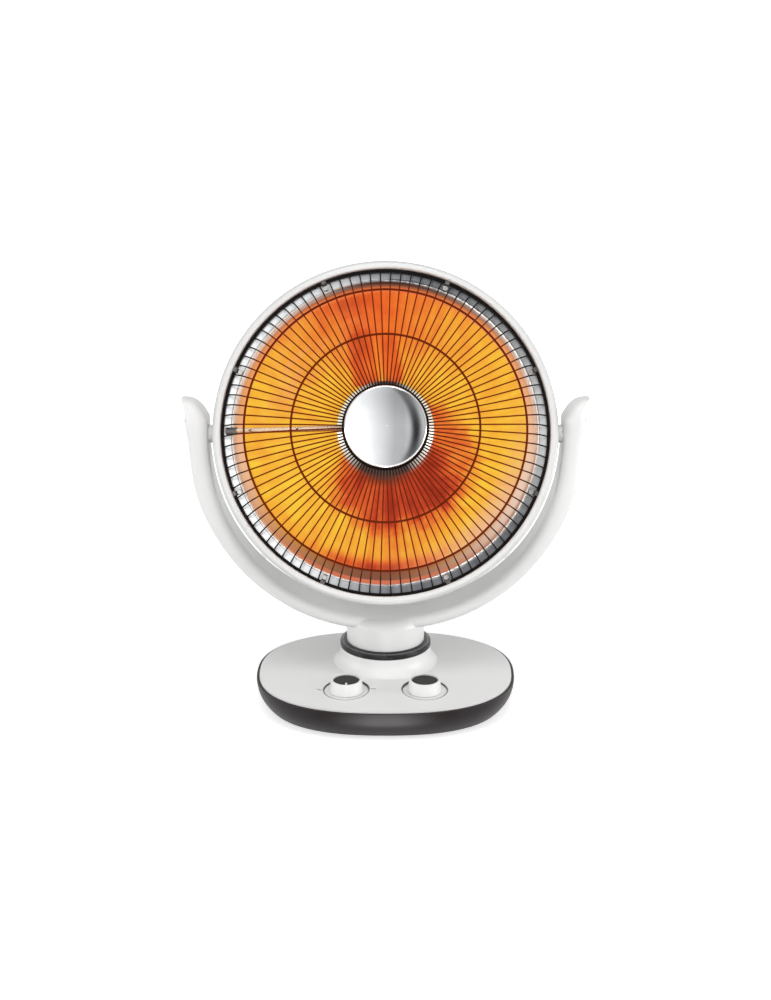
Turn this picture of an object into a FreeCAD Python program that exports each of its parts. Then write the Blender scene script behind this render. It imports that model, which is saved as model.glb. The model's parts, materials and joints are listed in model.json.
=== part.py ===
import FreeCAD, Part
import math
import os

V = FreeCAD.Vector
ORIGIN = V(0, 0, 0)
X_AXIS = V(1, 0, 0)
Y_AXIS = V(0, 1, 0)
Z_AXIS = V(0, 0, 1)

# Clearances
SEAM = 0.3                  # between two moulded pieces, and round a piece that turns
SNUG = 0.02                 # round a pin, a bush or a shaft that is pressed home
RUNNING = 0.06              # round a shaft that turns in its bearing

# Base
BASE_HALF_WIDTH = 135.5
BASE_HALF_DEPTH = 110.0
BASE_ROUNDNESS = 2.4        # exponent of the oval outline, 2 would be an ellipse
FOOT_HEIGHT = 4.0
FOOT_RADIUS = 9.0
FOOT_RECESS = 1.2
FOOT_INSET = 57.5           # feet's middles in from the widest and deepest points of the base
TRAY_HEIGHT = 29.0
TRAY_TAPER = 13.0           # how far the tray is drawn in at its foot
TRAY_CURVE = 2.2            # exponent of that taper
TRAY_WALL = 2.6
TRAY_FLOOR = 2.6
COVER_WALL = 2.6
COVER_SKIRT = 6.0
COVER_LIFT = 1.6            # cover's edge above the lip of the tray
COVER_RISE = 4.4            # crown of the cover from its edge to the foot of the riser
CROWN_CURVE = 1.6           # exponent of the crown's fall towards its edge
RISER_HEIGHT = 18.0
RISER_SWEEP = 14.0          # radius of the riser's hollow foot
RISER_SPREAD = 19.0
RISER_FALL = 2.6            # how far the spread foot falls away into the crown
RISER_PLATE = 4.0
BASE_SCREW_INSET = 32.5     # in from the widest point of the base
BASE_SCREW_Y = 30.0
SCREW_RADIUS = 1.7
SCREW_HEAD_RADIUS = 3.6
SCREW_HEAD_HEIGHT = 2.4
POST_RADIUS = 5.6
POST_DROP = 11.0            # cover's screw posts reach this far under its skirt

# Swivel between the base and the yoke
SWIVEL_Y = 18.0
NECK_RADIUS = 41.0
COLLAR_RADIUS = 48.0
COLLAR_HEIGHT = 7.0
COLLAR_RIDGE = 5.0
COLLAR_LIP = 3.0
HUB_RADIUS = 29.7
HUB_BORE = 22.0
HUB_SOCKET = 15.0           # height of the hub inside the neck
WASHER_THICKNESS = 1.5
RETAINER_THICKNESS = 4.0
RETAINER_WIDTH = 7.0
NECK_SCREW_X = 14.0
NECK_SCREW_DROP = 4.0       # under the top of the hub

# Swing drive: a reversing gearmotor turns a toothed sector on the hub
GEAR_MODULE = 1.5
SECTOR_TEETH = 48           # teeth that the sector would have as a full wheel
SECTOR_CUT_TEETH = 15       # teeth that it has
PINION_TEETH = 12
PRESSURE_ANGLE = 25.0
ADDENDUM = 0.8              # in modules
DEDENDUM = 1.1              # in modules
BACKLASH = 0.35
GEAR_WIDTH = 6.0
GEAR_FLOOR = 29.0           # height of the sector's underside above the floor
MOTOR_RADIUS = 24.0
MOTOR_HEIGHT = 16.0
MOTOR_OFFSET = 7.0          # gearmotor's body lies this far behind its shaft
MOTOR_SHAFT_RADIUS = 3.0
MOTOR_SHAFT_SUNK = 4.0
MOTOR_BOSS = 3.0
MOTOR_EAR = 4.5
MOTOR_EAR_SHEET = 2.0

# Controls
KNOB_X = 40.0
KNOB_INSET = 51.5           # in from the front of the base
KNOB_LEAN = 1.5             # the dials lean with the crown of the cover
KNOB_RADIUS = 18.0
KNOB_TOP_RADIUS = 15.2
KNOB_HEIGHT = 12.5
KNOB_RECESS = 2.0
KNOB_RIM = 1.6
KNOB_WALL = 2.2
KNOB_INSERT = 1.2
DIAL_RADIUS = 23.2
DIAL_DEPTH = 1.4
DIAL_GROOVE = 0.9
DIAL_PAD = 4.0
SHAFT_RADIUS = 3.0
SWITCH_SIDE = 28.0
SWITCH_HEIGHT = 14.0
TIMER_SIDE = 38.0
TIMER_HEIGHT = 19.0

# Tip-over switch
PLUNGER_X = -66.0
PLUNGER_Y = 30.0
PLUNGER_RADIUS = 5.0
PLUNGER_STEM_RADIUS = 2.2
PLUNGER_TRAVEL = 4.0
PLUNGER_FLANGE = 2.5
SLEEVE_HEIGHT = 2.0         # of the plunger's sleeve above the tray's floor
FLANGE_THICKNESS = 2.0
SPRING_WIRE = 0.8
SPRING_TURNS = 4
SPRING_HEIGHT = 8.0
TIP_SWITCH_SIZE = (20.0, 8.0, 7.0)

# Loose pieces in the base
BALLAST_SIZE = (112.0, 52.0, 6.0)
BALLAST_Y = -14.0
TERMINAL_SIZE = (30.0, 14.0, 12.0)
TERMINAL_X = 66.0
TERMINAL_Y = 44.0
GLAND_Z = 18.0
GLAND_RADIUS = 5.0
GLAND_BORE = 3.6
GLAND_LIP = 1.6
GLAND_GRIP = 7.0            # between its two lips

# Yoke
PIVOT_Z = 287.5
RIM_GAP = 5.0               # between the head's rim and each arm
ARM_THICKNESS = 21.5
ARM_HALF_DEPTH = 21.0
ARM_TOP = 17.5              # arm's shoulder above the pivot
ARM_FLARE = 2.7             # outward lean of the arm's outer face at its shoulder
CRADLE_GAP = 17.0           # under the head's rim
CRADLE_THICKNESS = 14.0
CRADLE_HALF_DEPTH = 28.0
YOKE_ROUNDNESS = 2.1        # exponent of the U's oval outlines
YOKE_WALL = 2.8
YOKE_ROUND = 9.0
BAND_ROUND = 0.45           # the same, where the U is thin, as a share of its thickness
NECK_ROUND = 11.0           # rounding of the neck's top under the head
NECK_DROP = 0.3             # neck's top under the inner side of the U
NECK_SPREAD = 15.0          # how far the neck widens where it meets the U
NECK_SPREAD_HEIGHT = 16.0
HORN_HEIGHT = 20.5
HORN_LEAN = 22.6            # how far the horn's inner side leans outwards up to its tip
HORN_REACH = 4.6            # how far its outer side curls outwards
HORN_STEP = 1.8
SHOULDER = 0.35
BOSS_RADIUS = 9.2
BUSH_RADIUS = 8.0
BUSH_LENGTH = 14.5
PIN_RADIUS = 5.0
YOKE_SCREW_ANGLES = (-68, -38, 38, 68)

# Head
HEAD_TILT = 21.5            # how far the face looks up at rest
RIM_RADIUS = 175.0
RIM_WALL = 3.0
RIM_FRONT = 22.0
RIM_BACK = 14.0
LIP_WIDTH = 8.3
LIP_BACK = 13.5             # back of the lip, ahead of the tilt axis
HOUSING_DEPTH = 58.0
HOUSING_FLAT = 56.0
HOUSING_WALL = 2.4
HOUSING_SKIRT = 7.0
VENT_COUNT = 36
VENT_INNER = 70.0
VENT_OUTER = 108.0
VENT_WIDTH = 3.4
HOUSING_SCREWS = 4

# Reflector
SHEET = 0.8
DISH_RADIUS = 153.5
DISH_DEPTH = 56.0
DISH_HOLE = 20.0
BEAD_WIDTH = 3.2
BEAD_HEIGHT = 1.6

# Wire guard
GUARD_WIRES = 96
GUARD_WIRE = 1.5
GUARD_RING = 2.2
GUARD_EDGE = 3.0
GUARD_RING_RADII = (141.6, 94.0)
GUARD_BEND_RADIUS = 152.5
GUARD_BEND_DEPTH = 36.0     # ahead of the tilt axis
GUARD_MID_DEPTH = 51.0
GUARD_HUB_DEPTH = 56.5
GUARD_EDGE_DEPTH = 17.0
GUARD_HUB_RADIUS = 43.2
GUARD_HUB_SHEET = 1.5
GUARD_HUB_DISH = 0.6
WIRE_END = 42.6
CLIP_COUNT = 8
CLIP_WIDTH = 4.6
CLIP_SHEET = 1.0
CLIP_FOOT = 5.6
CLIP_SCREW = 1.4
CLIP_SCREW_HEAD = 2.7

# Heating element and what carries it
CAP_RADIUS = 41.0
CAP_DEPTH = 65.0            # front of the cap ahead of the tilt axis
CAP_CROWN = 3.6
CAP_EDGE = 2.2
CAP_WALL = 1.4
CUP_RADIUS = 51.0
CUP_FLOOR_RADIUS = 34.0
CUP_FRONT = 48.0
CUP_BACK = 37.0
ROD_RADIUS = 3.0
SOCKET_RADIUS = 26.0
SOCKET_FLANGE = 8.0
SOCKET_TAIL = 10.0
CORE_BACK_RADIUS = 19.0
CORE_FRONT_RADIUS = 14.0
CORE_COLLAR = 4.0
CORE_COLLAR_OVERHANG = 5.5
COIL_WIRE = 2.6
COIL_TURNS = 12
COIL_SEAT = 0.3
NUT_RADIUS = 6.0
NUT_HEIGHT = 4.5
STAY_RADIUS = 3.0
STAY_CLAMP_RADIUS = 3.8
STAY_CLAMP_LENGTH = 11.0
STAY_FOOT = 2.6             # radius of the clamp's foot
CUTOUT_RADIUS = 6.0
CUTOUT_HEIGHT = 7.0
HEAD_TERMINAL_SIZE = (26.0, 10.0, 12.0)
HEAD_TERMINAL_Z = -40.0
WAY_RADIUS = 2.0            # its wire holes
WELL_RADIUS = 2.6           # its screw wells

# Heights and places that follow from the sizes above
TRAY_BOTTOM = FOOT_HEIGHT
FLOOR_Z = TRAY_BOTTOM + TRAY_FLOOR
RIM_Z = TRAY_BOTTOM + TRAY_HEIGHT
EDGE_Z = RIM_Z + COVER_LIFT
CROWN_Z = EDGE_Z + COVER_RISE
RISER_Z = CROWN_Z + RISER_HEIGHT
WASHER_Z = RISER_Z + WASHER_THICKNESS
NECK_Z = WASHER_Z + SEAM
COVER_HALF_WIDTH = BASE_HALF_WIDTH - TRAY_WALL - SEAM
COVER_HALF_DEPTH = BASE_HALF_DEPTH - TRAY_WALL - SEAM
FOOT_X = BASE_HALF_WIDTH - FOOT_INSET
FOOT_Y = BASE_HALF_DEPTH - FOOT_INSET
BASE_SCREW_X = BASE_HALF_WIDTH - BASE_SCREW_INSET
KNOB_Y = KNOB_INSET - BASE_HALF_DEPTH
ARM_INNER = RIM_RADIUS + RIM_GAP
ARM_OUTER = ARM_INNER + ARM_THICKNESS
CRADLE_INNER = RIM_RADIUS + CRADLE_GAP
CRADLE_OUTER = CRADLE_INNER + CRADLE_THICKNESS
NECK_BORE = NECK_RADIUS - YOKE_WALL
LIP_RADIUS = RIM_RADIUS - LIP_WIDTH
GUARD_EDGE_RADIUS = LIP_RADIUS - SEAM - GUARD_EDGE / 2
DISH_FRONT = -LIP_BACK
FLANGE_EDGE = RIM_RADIUS - RIM_WALL - SEAM
DISH_BOTTOM = DISH_FRONT + SHEET + DISH_DEPTH
HOUSING_BACK = RIM_BACK + HOUSING_DEPTH
SECTOR_PITCH = GEAR_MODULE * SECTOR_TEETH / 2
PINION_PITCH = GEAR_MODULE * PINION_TEETH / 2
PINION_Y = SWIVEL_Y + SECTOR_PITCH + PINION_PITCH


def rounded_wire(points, radii, closed):
    """Straight runs through the points, with an arc of the given radius at each corner."""
    count = len(points)
    starts, ends, middles = [], [], []
    for i, point in enumerate(points):
        inner = closed or 0 < i < count - 1
        radius = radii[i] if inner else 0
        if radius <= 0:
            starts.append(point)
            ends.append(point)
            middles.append(None)
            continue
        back = (points[i - 1] - point).normalize()
        ahead = (points[(i + 1) % count] - point).normalize()
        half = back.getAngle(ahead) / 2
        reach = radius / math.tan(half)
        bisector = (back + ahead).normalize()
        starts.append(point + back * reach)
        ends.append(point + ahead * reach)
        middles.append(point + bisector * (radius / math.sin(half) - radius))
    edges = []
    for i in range(count):
        if middles[i] is not None:
            edges.append(Part.Arc(starts[i], middles[i], ends[i]).toShape())
        if i + 1 < count or closed:
            follower = starts[(i + 1) % count]
            if (follower - ends[i]).Length > 1e-6:
                edges.append(Part.LineSegment(ends[i], follower).toShape())
    return Part.Wire(edges)


def turned(profile, radii=None, axis=Z_AXIS):
    """Solid of revolution from (radius, height) corners, about the vertical or the head's axis."""
    along = (lambda r, h: V(r, 0, h)) if axis == Z_AXIS else (lambda r, h: V(r, h, 0))
    points = [along(r, h) for r, h in profile]
    wire = rounded_wire(points, radii or [0] * len(points), True)
    return Part.Face(wire).revolve(ORIGIN, axis, 360)


def tube(outer, inner, low, high):
    return turned([(inner, low), (outer, low), (outer, high), (inner, high)])


def rod(radius, start, end):
    """Cylinder from one point to another."""
    return Part.makeCylinder(radius, (end - start).Length, start, end - start)


def block(size, centre_x, centre_y, floor_z):
    corner = V(centre_x - size[0] / 2, centre_y - size[1] / 2, floor_z)
    return Part.makeBox(size[0], size[1], size[2], corner)


def moved(shape, x, y, z):
    copy = shape.copy()
    copy.translate(V(x, y, z))
    return copy


def turned_copy(shape, degrees, axis, centre=ORIGIN):
    copy = shape.copy()
    copy.rotate(centre, axis, degrees)
    return copy


def whole(shape):
    """The one solid of a result that should have no loose bits."""
    merged = shape.removeSplitter()
    kept = merged if merged.isValid() else shape
    return max(kept.Solids, key=lambda solid: solid.Volume)


def oval(half_width, half_depth, exponent, centre_y, z, steps=32):
    """Closed oval outline: |x/a|^n + |y/b|^n = 1."""
    power = 2 / exponent
    points = []
    for i in range(steps):
        angle = 2 * math.pi * i / steps
        c, s = math.cos(angle), math.sin(angle)
        x = half_width * math.copysign(abs(c) ** power, c)
        y = half_depth * math.copysign(abs(s) ** power, s)
        points.append(V(x, y + centre_y, z))
    curve = Part.BSplineCurve()
    curve.interpolate(Points=points, PeriodicFlag=True)
    return Part.Wire(curve.toShape())


def loft(wires):
    return Part.makeLoft(wires, True, False)


# Base

TRAY_LEVELS = (0.0, 0.14, 0.36, 0.66, 1.0)
CROWN_LEVELS = (1.0, 0.74, 0.48, 0.24, 0.09)


def tray_form(inset, floor_z):
    """Bowl of the tray, drawn in towards its foot, from floor_z up to the rim."""
    wires = []
    for level in TRAY_LEVELS:
        z = floor_z + (RIM_Z - floor_z) * level
        share = (z - TRAY_BOTTOM) / TRAY_HEIGHT
        drawn = inset + TRAY_TAPER * (1 - share) ** TRAY_CURVE
        wires.append(oval(BASE_HALF_WIDTH - drawn, BASE_HALF_DEPTH - drawn, BASE_ROUNDNESS, 0, z))
    return loft(wires)


def crown_form(inset, drop):
    """Crown of the cover, from the oval rim to the round foot of the riser."""
    wires = []
    for share in CROWN_LEVELS:
        half_width = COLLAR_RADIUS + (COVER_HALF_WIDTH - COLLAR_RADIUS) * share - inset
        half_depth = COLLAR_RADIUS + (COVER_HALF_DEPTH - COLLAR_RADIUS) * share - inset
        exponent = 2 + (BASE_ROUNDNESS - 2) * share
        z = EDGE_Z + COVER_RISE * (1 - share ** CROWN_CURVE) - drop
        wires.append(oval(half_width, half_depth, exponent, SWIVEL_Y * (1 - share), z))
    return loft(wires)


def rim_prism(inset, low, high):
    half_width, half_depth = COVER_HALF_WIDTH - inset, COVER_HALF_DEPTH - inset
    outline = oval(half_width, half_depth, BASE_ROUNDNESS, 0, low)
    return Part.Face(outline).extrude(V(0, 0, high - low))


def riser_form():
    """Round riser whose foot sweeps out into the crown."""
    top, foot = COLLAR_RADIUS, COLLAR_RADIUS + RISER_SPREAD
    low, high = RIM_Z, RISER_Z
    profile = [(0, low), (foot, low), (foot, CROWN_Z - RISER_FALL), (top, CROWN_Z), (top, high), (0, high)]
    return moved(turned(profile, [0, 0, 0, RISER_SWEEP, 0, 0]), 0, SWIVEL_Y, 0)


def riser_hollow():
    """Room under the riser, with a straight slope behind its swept foot."""
    top, corner = COLLAR_RADIUS - COVER_WALL, CROWN_Z - COVER_WALL
    slope = (2 - math.sqrt(2)) * (RISER_SWEEP + COVER_WALL)
    low, high = RIM_Z - COVER_WALL, RISER_Z - RISER_PLATE
    foot = top + slope
    profile = [(0, low), (foot, low), (foot, corner), (top, corner + slope), (top, high), (0, high)]
    return moved(turned(profile), 0, SWIVEL_Y, 0)


def cover_form():
    """Outside of the cover as a solid, without its hollow."""
    crown = crown_form(0, 0)
    return crown.fuse([rim_prism(0, RIM_Z - COVER_SKIRT, EDGE_Z), riser_form()])


def dial_height(form):
    """Height of the cover's crown at the middle of a dial."""
    probe = Part.makeLine(V(KNOB_X, KNOB_Y, 0), V(KNOB_X, KNOB_Y, RISER_Z))
    return form.common(probe).BoundBox.ZMax - DIAL_DEPTH


def on_dial(shape, side, dial_z):
    """Carry a shape from the origin to the floor of a dial: side is -1 on the left, 1 on the right."""
    leaned = turned_copy(shape, KNOB_LEAN, X_AXIS)
    return moved(leaned, side * KNOB_X, KNOB_Y, dial_z)


def base_screw_places():
    return [(sx * BASE_SCREW_X, sy * BASE_SCREW_Y) for sx in (-1, 1) for sy in (-1, 1)]


def foot_places():
    return [(sx * FOOT_X, sy * FOOT_Y) for sx in (-1, 1) for sy in (-1, 1)]


SCREW_SEAT_Z = FLOOR_Z + SCREW_HEAD_HEIGHT
TRAY_POST_Z = RIM_Z - COVER_SKIRT - POST_DROP
SCREW_TIP_Z = RIM_Z - COVER_SKIRT


def wall_depth_at(z, inset):
    """Half depth of the tray at a height, at the middle of its back."""
    share = (z - TRAY_BOTTOM) / TRAY_HEIGHT
    return BASE_HALF_DEPTH - inset - TRAY_TAPER * (1 - share) ** TRAY_CURVE


GLAND_OUTSIDE = wall_depth_at(GLAND_Z, 0)
GLAND_INSIDE = GLAND_OUTSIDE - GLAND_GRIP


def gland_at(y):
    return V(0, y, GLAND_Z)


def base_tray():
    body = tray_form(0, TRAY_BOTTOM).cut(tray_form(TRAY_WALL, FLOOR_Z))
    posts = [rod(POST_RADIUS, V(x, y, TRAY_BOTTOM + 1), V(x, y, TRAY_POST_Z)) for x, y in base_screw_places()]
    posts.append(rod(PLUNGER_RADIUS + TRAY_WALL, plunger_at(FLOOR_Z - 1), plunger_at(SLEEVE_TOP)))
    eye = rod(GLAND_RADIUS + 2 * GLAND_LIP, gland_at(GLAND_INSIDE), gland_at(BASE_HALF_DEPTH))
    posts.append(eye.common(tray_form(0, TRAY_BOTTOM)))
    body = body.fuse(posts)
    holes = []
    for x, y in base_screw_places():
        holes.append(rod(SCREW_RADIUS + SEAM, V(x, y, 0), V(x, y, TRAY_POST_Z + 1)))
        holes.append(rod(SCREW_HEAD_RADIUS + SEAM, V(x, y, 0), V(x, y, SCREW_SEAT_Z)))
    for x, y in foot_places():
        holes.append(rod(FOOT_RADIUS + SNUG, V(x, y, 0), V(x, y, TRAY_BOTTOM + FOOT_RECESS)))
    holes.append(rod(PLUNGER_RADIUS + SEAM, plunger_at(0), plunger_at(SLEEVE_TOP + 1)))
    holes.append(rod(GLAND_RADIUS + SNUG, gland_at(GLAND_INSIDE - 1), gland_at(BASE_HALF_DEPTH + 1)))
    holes.append(rod(GLAND_RADIUS + GLAND_LIP + SEAM, gland_at(GLAND_OUTSIDE), gland_at(BASE_HALF_DEPTH + 1)))
    return whole(body.cut(holes))


def base_cover(form, dial_z):
    hollow = crown_form(COVER_WALL, COVER_WALL)
    skirt = rim_prism(COVER_WALL, RIM_Z - COVER_SKIRT - 1, EDGE_Z - COVER_WALL)
    hollow = hollow.fuse([skirt, riser_hollow()])
    shell = form.cut(hollow)
    pad = rod(DIAL_RADIUS + COVER_WALL, V(0, 0, -DIAL_PAD), V(0, 0, DIAL_PAD))
    pads = [on_dial(pad, side, dial_z) for side in (-1, 1)]
    posts = [rod(POST_RADIUS, V(x, y, TRAY_POST_Z + SEAM), V(x, y, RISER_Z)) for x, y in base_screw_places()]
    column = rim_prism(COVER_WALL, 0, EDGE_Z).fuse(form)
    shell = shell.fuse([piece.common(column) for piece in pads + posts])
    cuts = [moved(rod(HUB_RADIUS + SEAM, ORIGIN, V(0, 0, RISER_Z + 1)), 0, SWIVEL_Y, 0)]
    for side in (-1, 1):
        cuts.append(on_dial(rod(DIAL_RADIUS, ORIGIN, V(0, 0, RISER_Z)), side, dial_z))
        groove = tube(DIAL_RADIUS, DIAL_RADIUS - DIAL_GROOVE, -DIAL_GROOVE, DIAL_GROOVE)
        cuts.append(on_dial(groove, side, dial_z))
        cuts.append(on_dial(rod(SHAFT_RADIUS + SEAM, V(0, 0, -RISER_Z / 2), V(0, 0, RISER_Z)), side, dial_z))
    for x, y in base_screw_places():
        cuts.append(rod(SCREW_RADIUS + SNUG, V(x, y, 0), V(x, y, SCREW_TIP_Z)))
    return whole(shell.cut(cuts))


def pivot_collar():
    """Dark trim ring round the neck, with a ridge at half height."""
    inner = NECK_RADIUS + SEAM
    ridge_z = RISER_Z + COLLAR_RIDGE
    top = RISER_Z + COLLAR_HEIGHT
    lip = inner + COLLAR_LIP
    profile = [
        (inner, RISER_Z), (COLLAR_RADIUS, RISER_Z), (COLLAR_RADIUS, ridge_z), (lip, (ridge_z + top) / 2),
        (lip, top), (inner, top),
    ]
    return moved(turned(profile, [0, 0.6, 1.2, 0.4, 0.6, 0.3]), 0, SWIVEL_Y, 0)


def rubber_feet():
    foot = turned(
        [(0, 0), (FOOT_RADIUS, 0), (FOOT_RADIUS, TRAY_BOTTOM + FOOT_RECESS), (0, TRAY_BOTTOM + FOOT_RECESS)],
        [0, 1.2, 0, 0])
    return [moved(foot, x, y, 0) for x, y in foot_places()]


def base_screws():
    screw = rod(SCREW_RADIUS, V(0, 0, SCREW_SEAT_Z - 0.5), V(0, 0, SCREW_TIP_Z - SEAM))
    head = rod(SCREW_HEAD_RADIUS, V(0, 0, SCREW_SEAT_Z - SCREW_HEAD_HEIGHT), V(0, 0, SCREW_SEAT_Z))
    screw = whole(screw.fuse(head))
    return [moved(screw, x, y, 0) for x, y in base_screw_places()]


def ballast_plate():
    plate = block(BALLAST_SIZE, 0, BALLAST_Y, FLOOR_Z)
    upright = [edge for edge in plate.Edges if abs(edge.tangentAt(edge.FirstParameter).z) > 0.9]
    return plate.makeFillet(BALLAST_SIZE[2], upright)


def terminal_block():
    """Insulating block with a row of wire holes and screw wells."""
    body = block(TERMINAL_SIZE, TERMINAL_X, TERMINAL_Y, FLOOR_Z)
    ways = 3
    pitch = TERMINAL_SIZE[0] / ways
    cuts = []
    for i in range(ways):
        x = TERMINAL_X + (i - (ways - 1) / 2) * pitch
        mid = FLOOR_Z + TERMINAL_SIZE[2] / 2
        half = TERMINAL_SIZE[1] / 2 + 1
        cuts.append(rod(pitch / 5, V(x, TERMINAL_Y - half, mid), V(x, TERMINAL_Y + half, mid)))
        cuts.append(rod(pitch / 4, V(x, TERMINAL_Y, mid), V(x, TERMINAL_Y, FLOOR_Z + TERMINAL_SIZE[2] + 1)))
    return whole(body.cut(cuts))


def cord_gland():
    """Rubber grommet in the back wall, with a lip inside and outside."""
    lip = GLAND_RADIUS + GLAND_LIP
    inside, outside = GLAND_INSIDE - SNUG, GLAND_OUTSIDE + SNUG
    profile = [
        (GLAND_BORE, inside - GLAND_LIP), (lip, inside - GLAND_LIP), (lip, inside), (GLAND_RADIUS, inside),
        (GLAND_RADIUS, outside), (lip, outside), (lip, outside + GLAND_LIP),
        (GLAND_BORE, outside + GLAND_LIP),
    ]
    return moved(turned(profile, [0, 0, 0, 0, 0, 0, 0.9, 0], Y_AXIS), 0, 0, GLAND_Z)


# Tip-over switch

def plunger_at(z):
    return V(PLUNGER_X, PLUNGER_Y, z)


SLEEVE_TOP = FLOOR_Z + SLEEVE_HEIGHT
FLANGE_Z = SLEEVE_TOP + PLUNGER_TRAVEL + SEAM
SPRING_Z = FLANGE_Z + FLANGE_THICKNESS
GUIDE_Z = SPRING_Z + SPRING_HEIGHT
GUIDE_SHEET = 1.6
STEM_TOP = GUIDE_Z + GUIDE_SHEET + SEAM
SPRING_RADIUS = PLUNGER_STEM_RADIUS + SEAM + SPRING_WIRE / 2 + 0.6


def tip_plunger():
    flange = PLUNGER_RADIUS + PLUNGER_FLANGE
    profile = [
        (0, 0), (PLUNGER_RADIUS, 0), (PLUNGER_RADIUS, FLANGE_Z), (flange, FLANGE_Z), (flange, SPRING_Z),
        (PLUNGER_STEM_RADIUS, SPRING_Z), (PLUNGER_STEM_RADIUS, STEM_TOP), (0, STEM_TOP),
    ]
    return moved(turned(profile, [0, 1.5, 0, 0, 0, 0, 0, 0]), PLUNGER_X, PLUNGER_Y, 0)


def plunger_guide():
    """Folded bracket over the plunger: two legs on the tray's floor and a bridge with the stem's hole."""
    half = PLUNGER_RADIUS + PLUNGER_FLANGE + TRAY_WALL + 1.5
    width = 2 * PLUNGER_RADIUS
    outer = block((2 * half, width, GUIDE_Z + GUIDE_SHEET - FLOOR_Z), PLUNGER_X, PLUNGER_Y, FLOOR_Z)
    inner = block((2 * (half - GUIDE_SHEET), width + 2, GUIDE_Z - FLOOR_Z), PLUNGER_X, PLUNGER_Y, FLOOR_Z)
    feet = block((2 * half + 10, width, GUIDE_SHEET), PLUNGER_X, PLUNGER_Y, FLOOR_Z).cut(inner)
    hole = rod(PLUNGER_STEM_RADIUS + SEAM, plunger_at(GUIDE_Z - 1), plunger_at(GUIDE_Z + GUIDE_SHEET + 1))
    return whole(outer.fuse(feet).cut([inner, hole]))


def tip_switch():
    """Snap-action switch on the bridge of the guide, its button over the stem."""
    low = GUIDE_Z + GUIDE_SHEET
    body = block(TIP_SWITCH_SIZE, PLUNGER_X, PLUNGER_Y, low)
    pocket = rod(PLUNGER_STEM_RADIUS + SEAM, plunger_at(low - 1), plunger_at(STEM_TOP + SEAM))
    return whole(body.cut(pocket))


# Wound pieces

def biarc(start, start_way, end, end_way):
    """Two tangent arcs from a point and direction to another point and direction."""
    span = end - start
    ways = start_way + end_way
    a = 2 * (1 - start_way.dot(end_way))
    b = 2 * span.dot(ways)
    c = -span.dot(span)
    reach = (-b + math.sqrt(b * b - 4 * a * c)) / (2 * a)
    first, second = start + start_way * reach, end - end_way * reach
    joint = (first + second) * 0.5
    edges = []
    for near, corner, far in ((start, first, joint), (joint, second, end)):
        weight = (far - near).Length / (2 * (corner - near).Length)
        middle = (near + corner * (2 * weight) + far) * (1 / (2 + 2 * weight))
        edges.append(Part.Arc(near, middle, far).toShape())
    return edges


def winding(place, way, turns, wire):
    """One unbroken tube along a winding, and its least gap to itself."""
    steps = 2 * turns
    edges = []
    for i in range(steps):
        a, b = i / steps, (i + 1) / steps
        edges += biarc(place(a), way(a), place(b), way(b))
    path = Part.Wire(edges)
    circle = Part.Wire(Part.Circle(place(0), way(0), wire / 2).toShape())
    shell = Part.BRepOffsetAPI.MakePipeShell(path)
    shell.add(circle)
    shell.build()
    shell.makeSolid()
    samples = [edge.valueAt(edge.FirstParameter + (edge.LastParameter - edge.FirstParameter) * k / 4)
               for edge in edges for k in range(4)]
    per_turn = len(samples) // turns
    gaps = []
    for i in range(len(samples)):
        far = samples[i + per_turn // 2:]
        if far:
            gaps.append(min((samples[i] - other).Length for other in far))
    return shell.shape(), min(gaps) - wire


def plunger_spring():
    pitch = (SPRING_HEIGHT - SPRING_WIRE - 2 * SEAM) / SPRING_TURNS
    low = SPRING_Z + SEAM + SPRING_WIRE / 2

    def place(share):
        angle = 2 * math.pi * SPRING_TURNS * share
        height = low + pitch * SPRING_TURNS * share
        return plunger_at(height) + V(math.cos(angle), math.sin(angle), 0) * SPRING_RADIUS

    def way(share):
        angle = 2 * math.pi * SPRING_TURNS * share
        return V(-math.sin(angle), math.cos(angle), pitch / (2 * math.pi * SPRING_RADIUS)).normalize()

    solid, gap = winding(place, way, SPRING_TURNS, SPRING_WIRE)
    print("plunger_spring: least gap to itself %.2f mm" % gap)
    return solid


# Swing drive

def involute_flank(base_radius, root, tip, half_angle, steps=5):
    """Points up one flank of a tooth; half_angle is half the tooth's width at the base circle."""
    points = []
    first = max(root, base_radius)
    for i in range(steps):
        radius = first + (tip - first) * i / (steps - 1)
        turn = math.sqrt(max((radius / base_radius) ** 2 - 1, 0))
        angle = half_angle - (turn - math.atan(turn))
        points.append((radius, angle))
    return points


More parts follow.
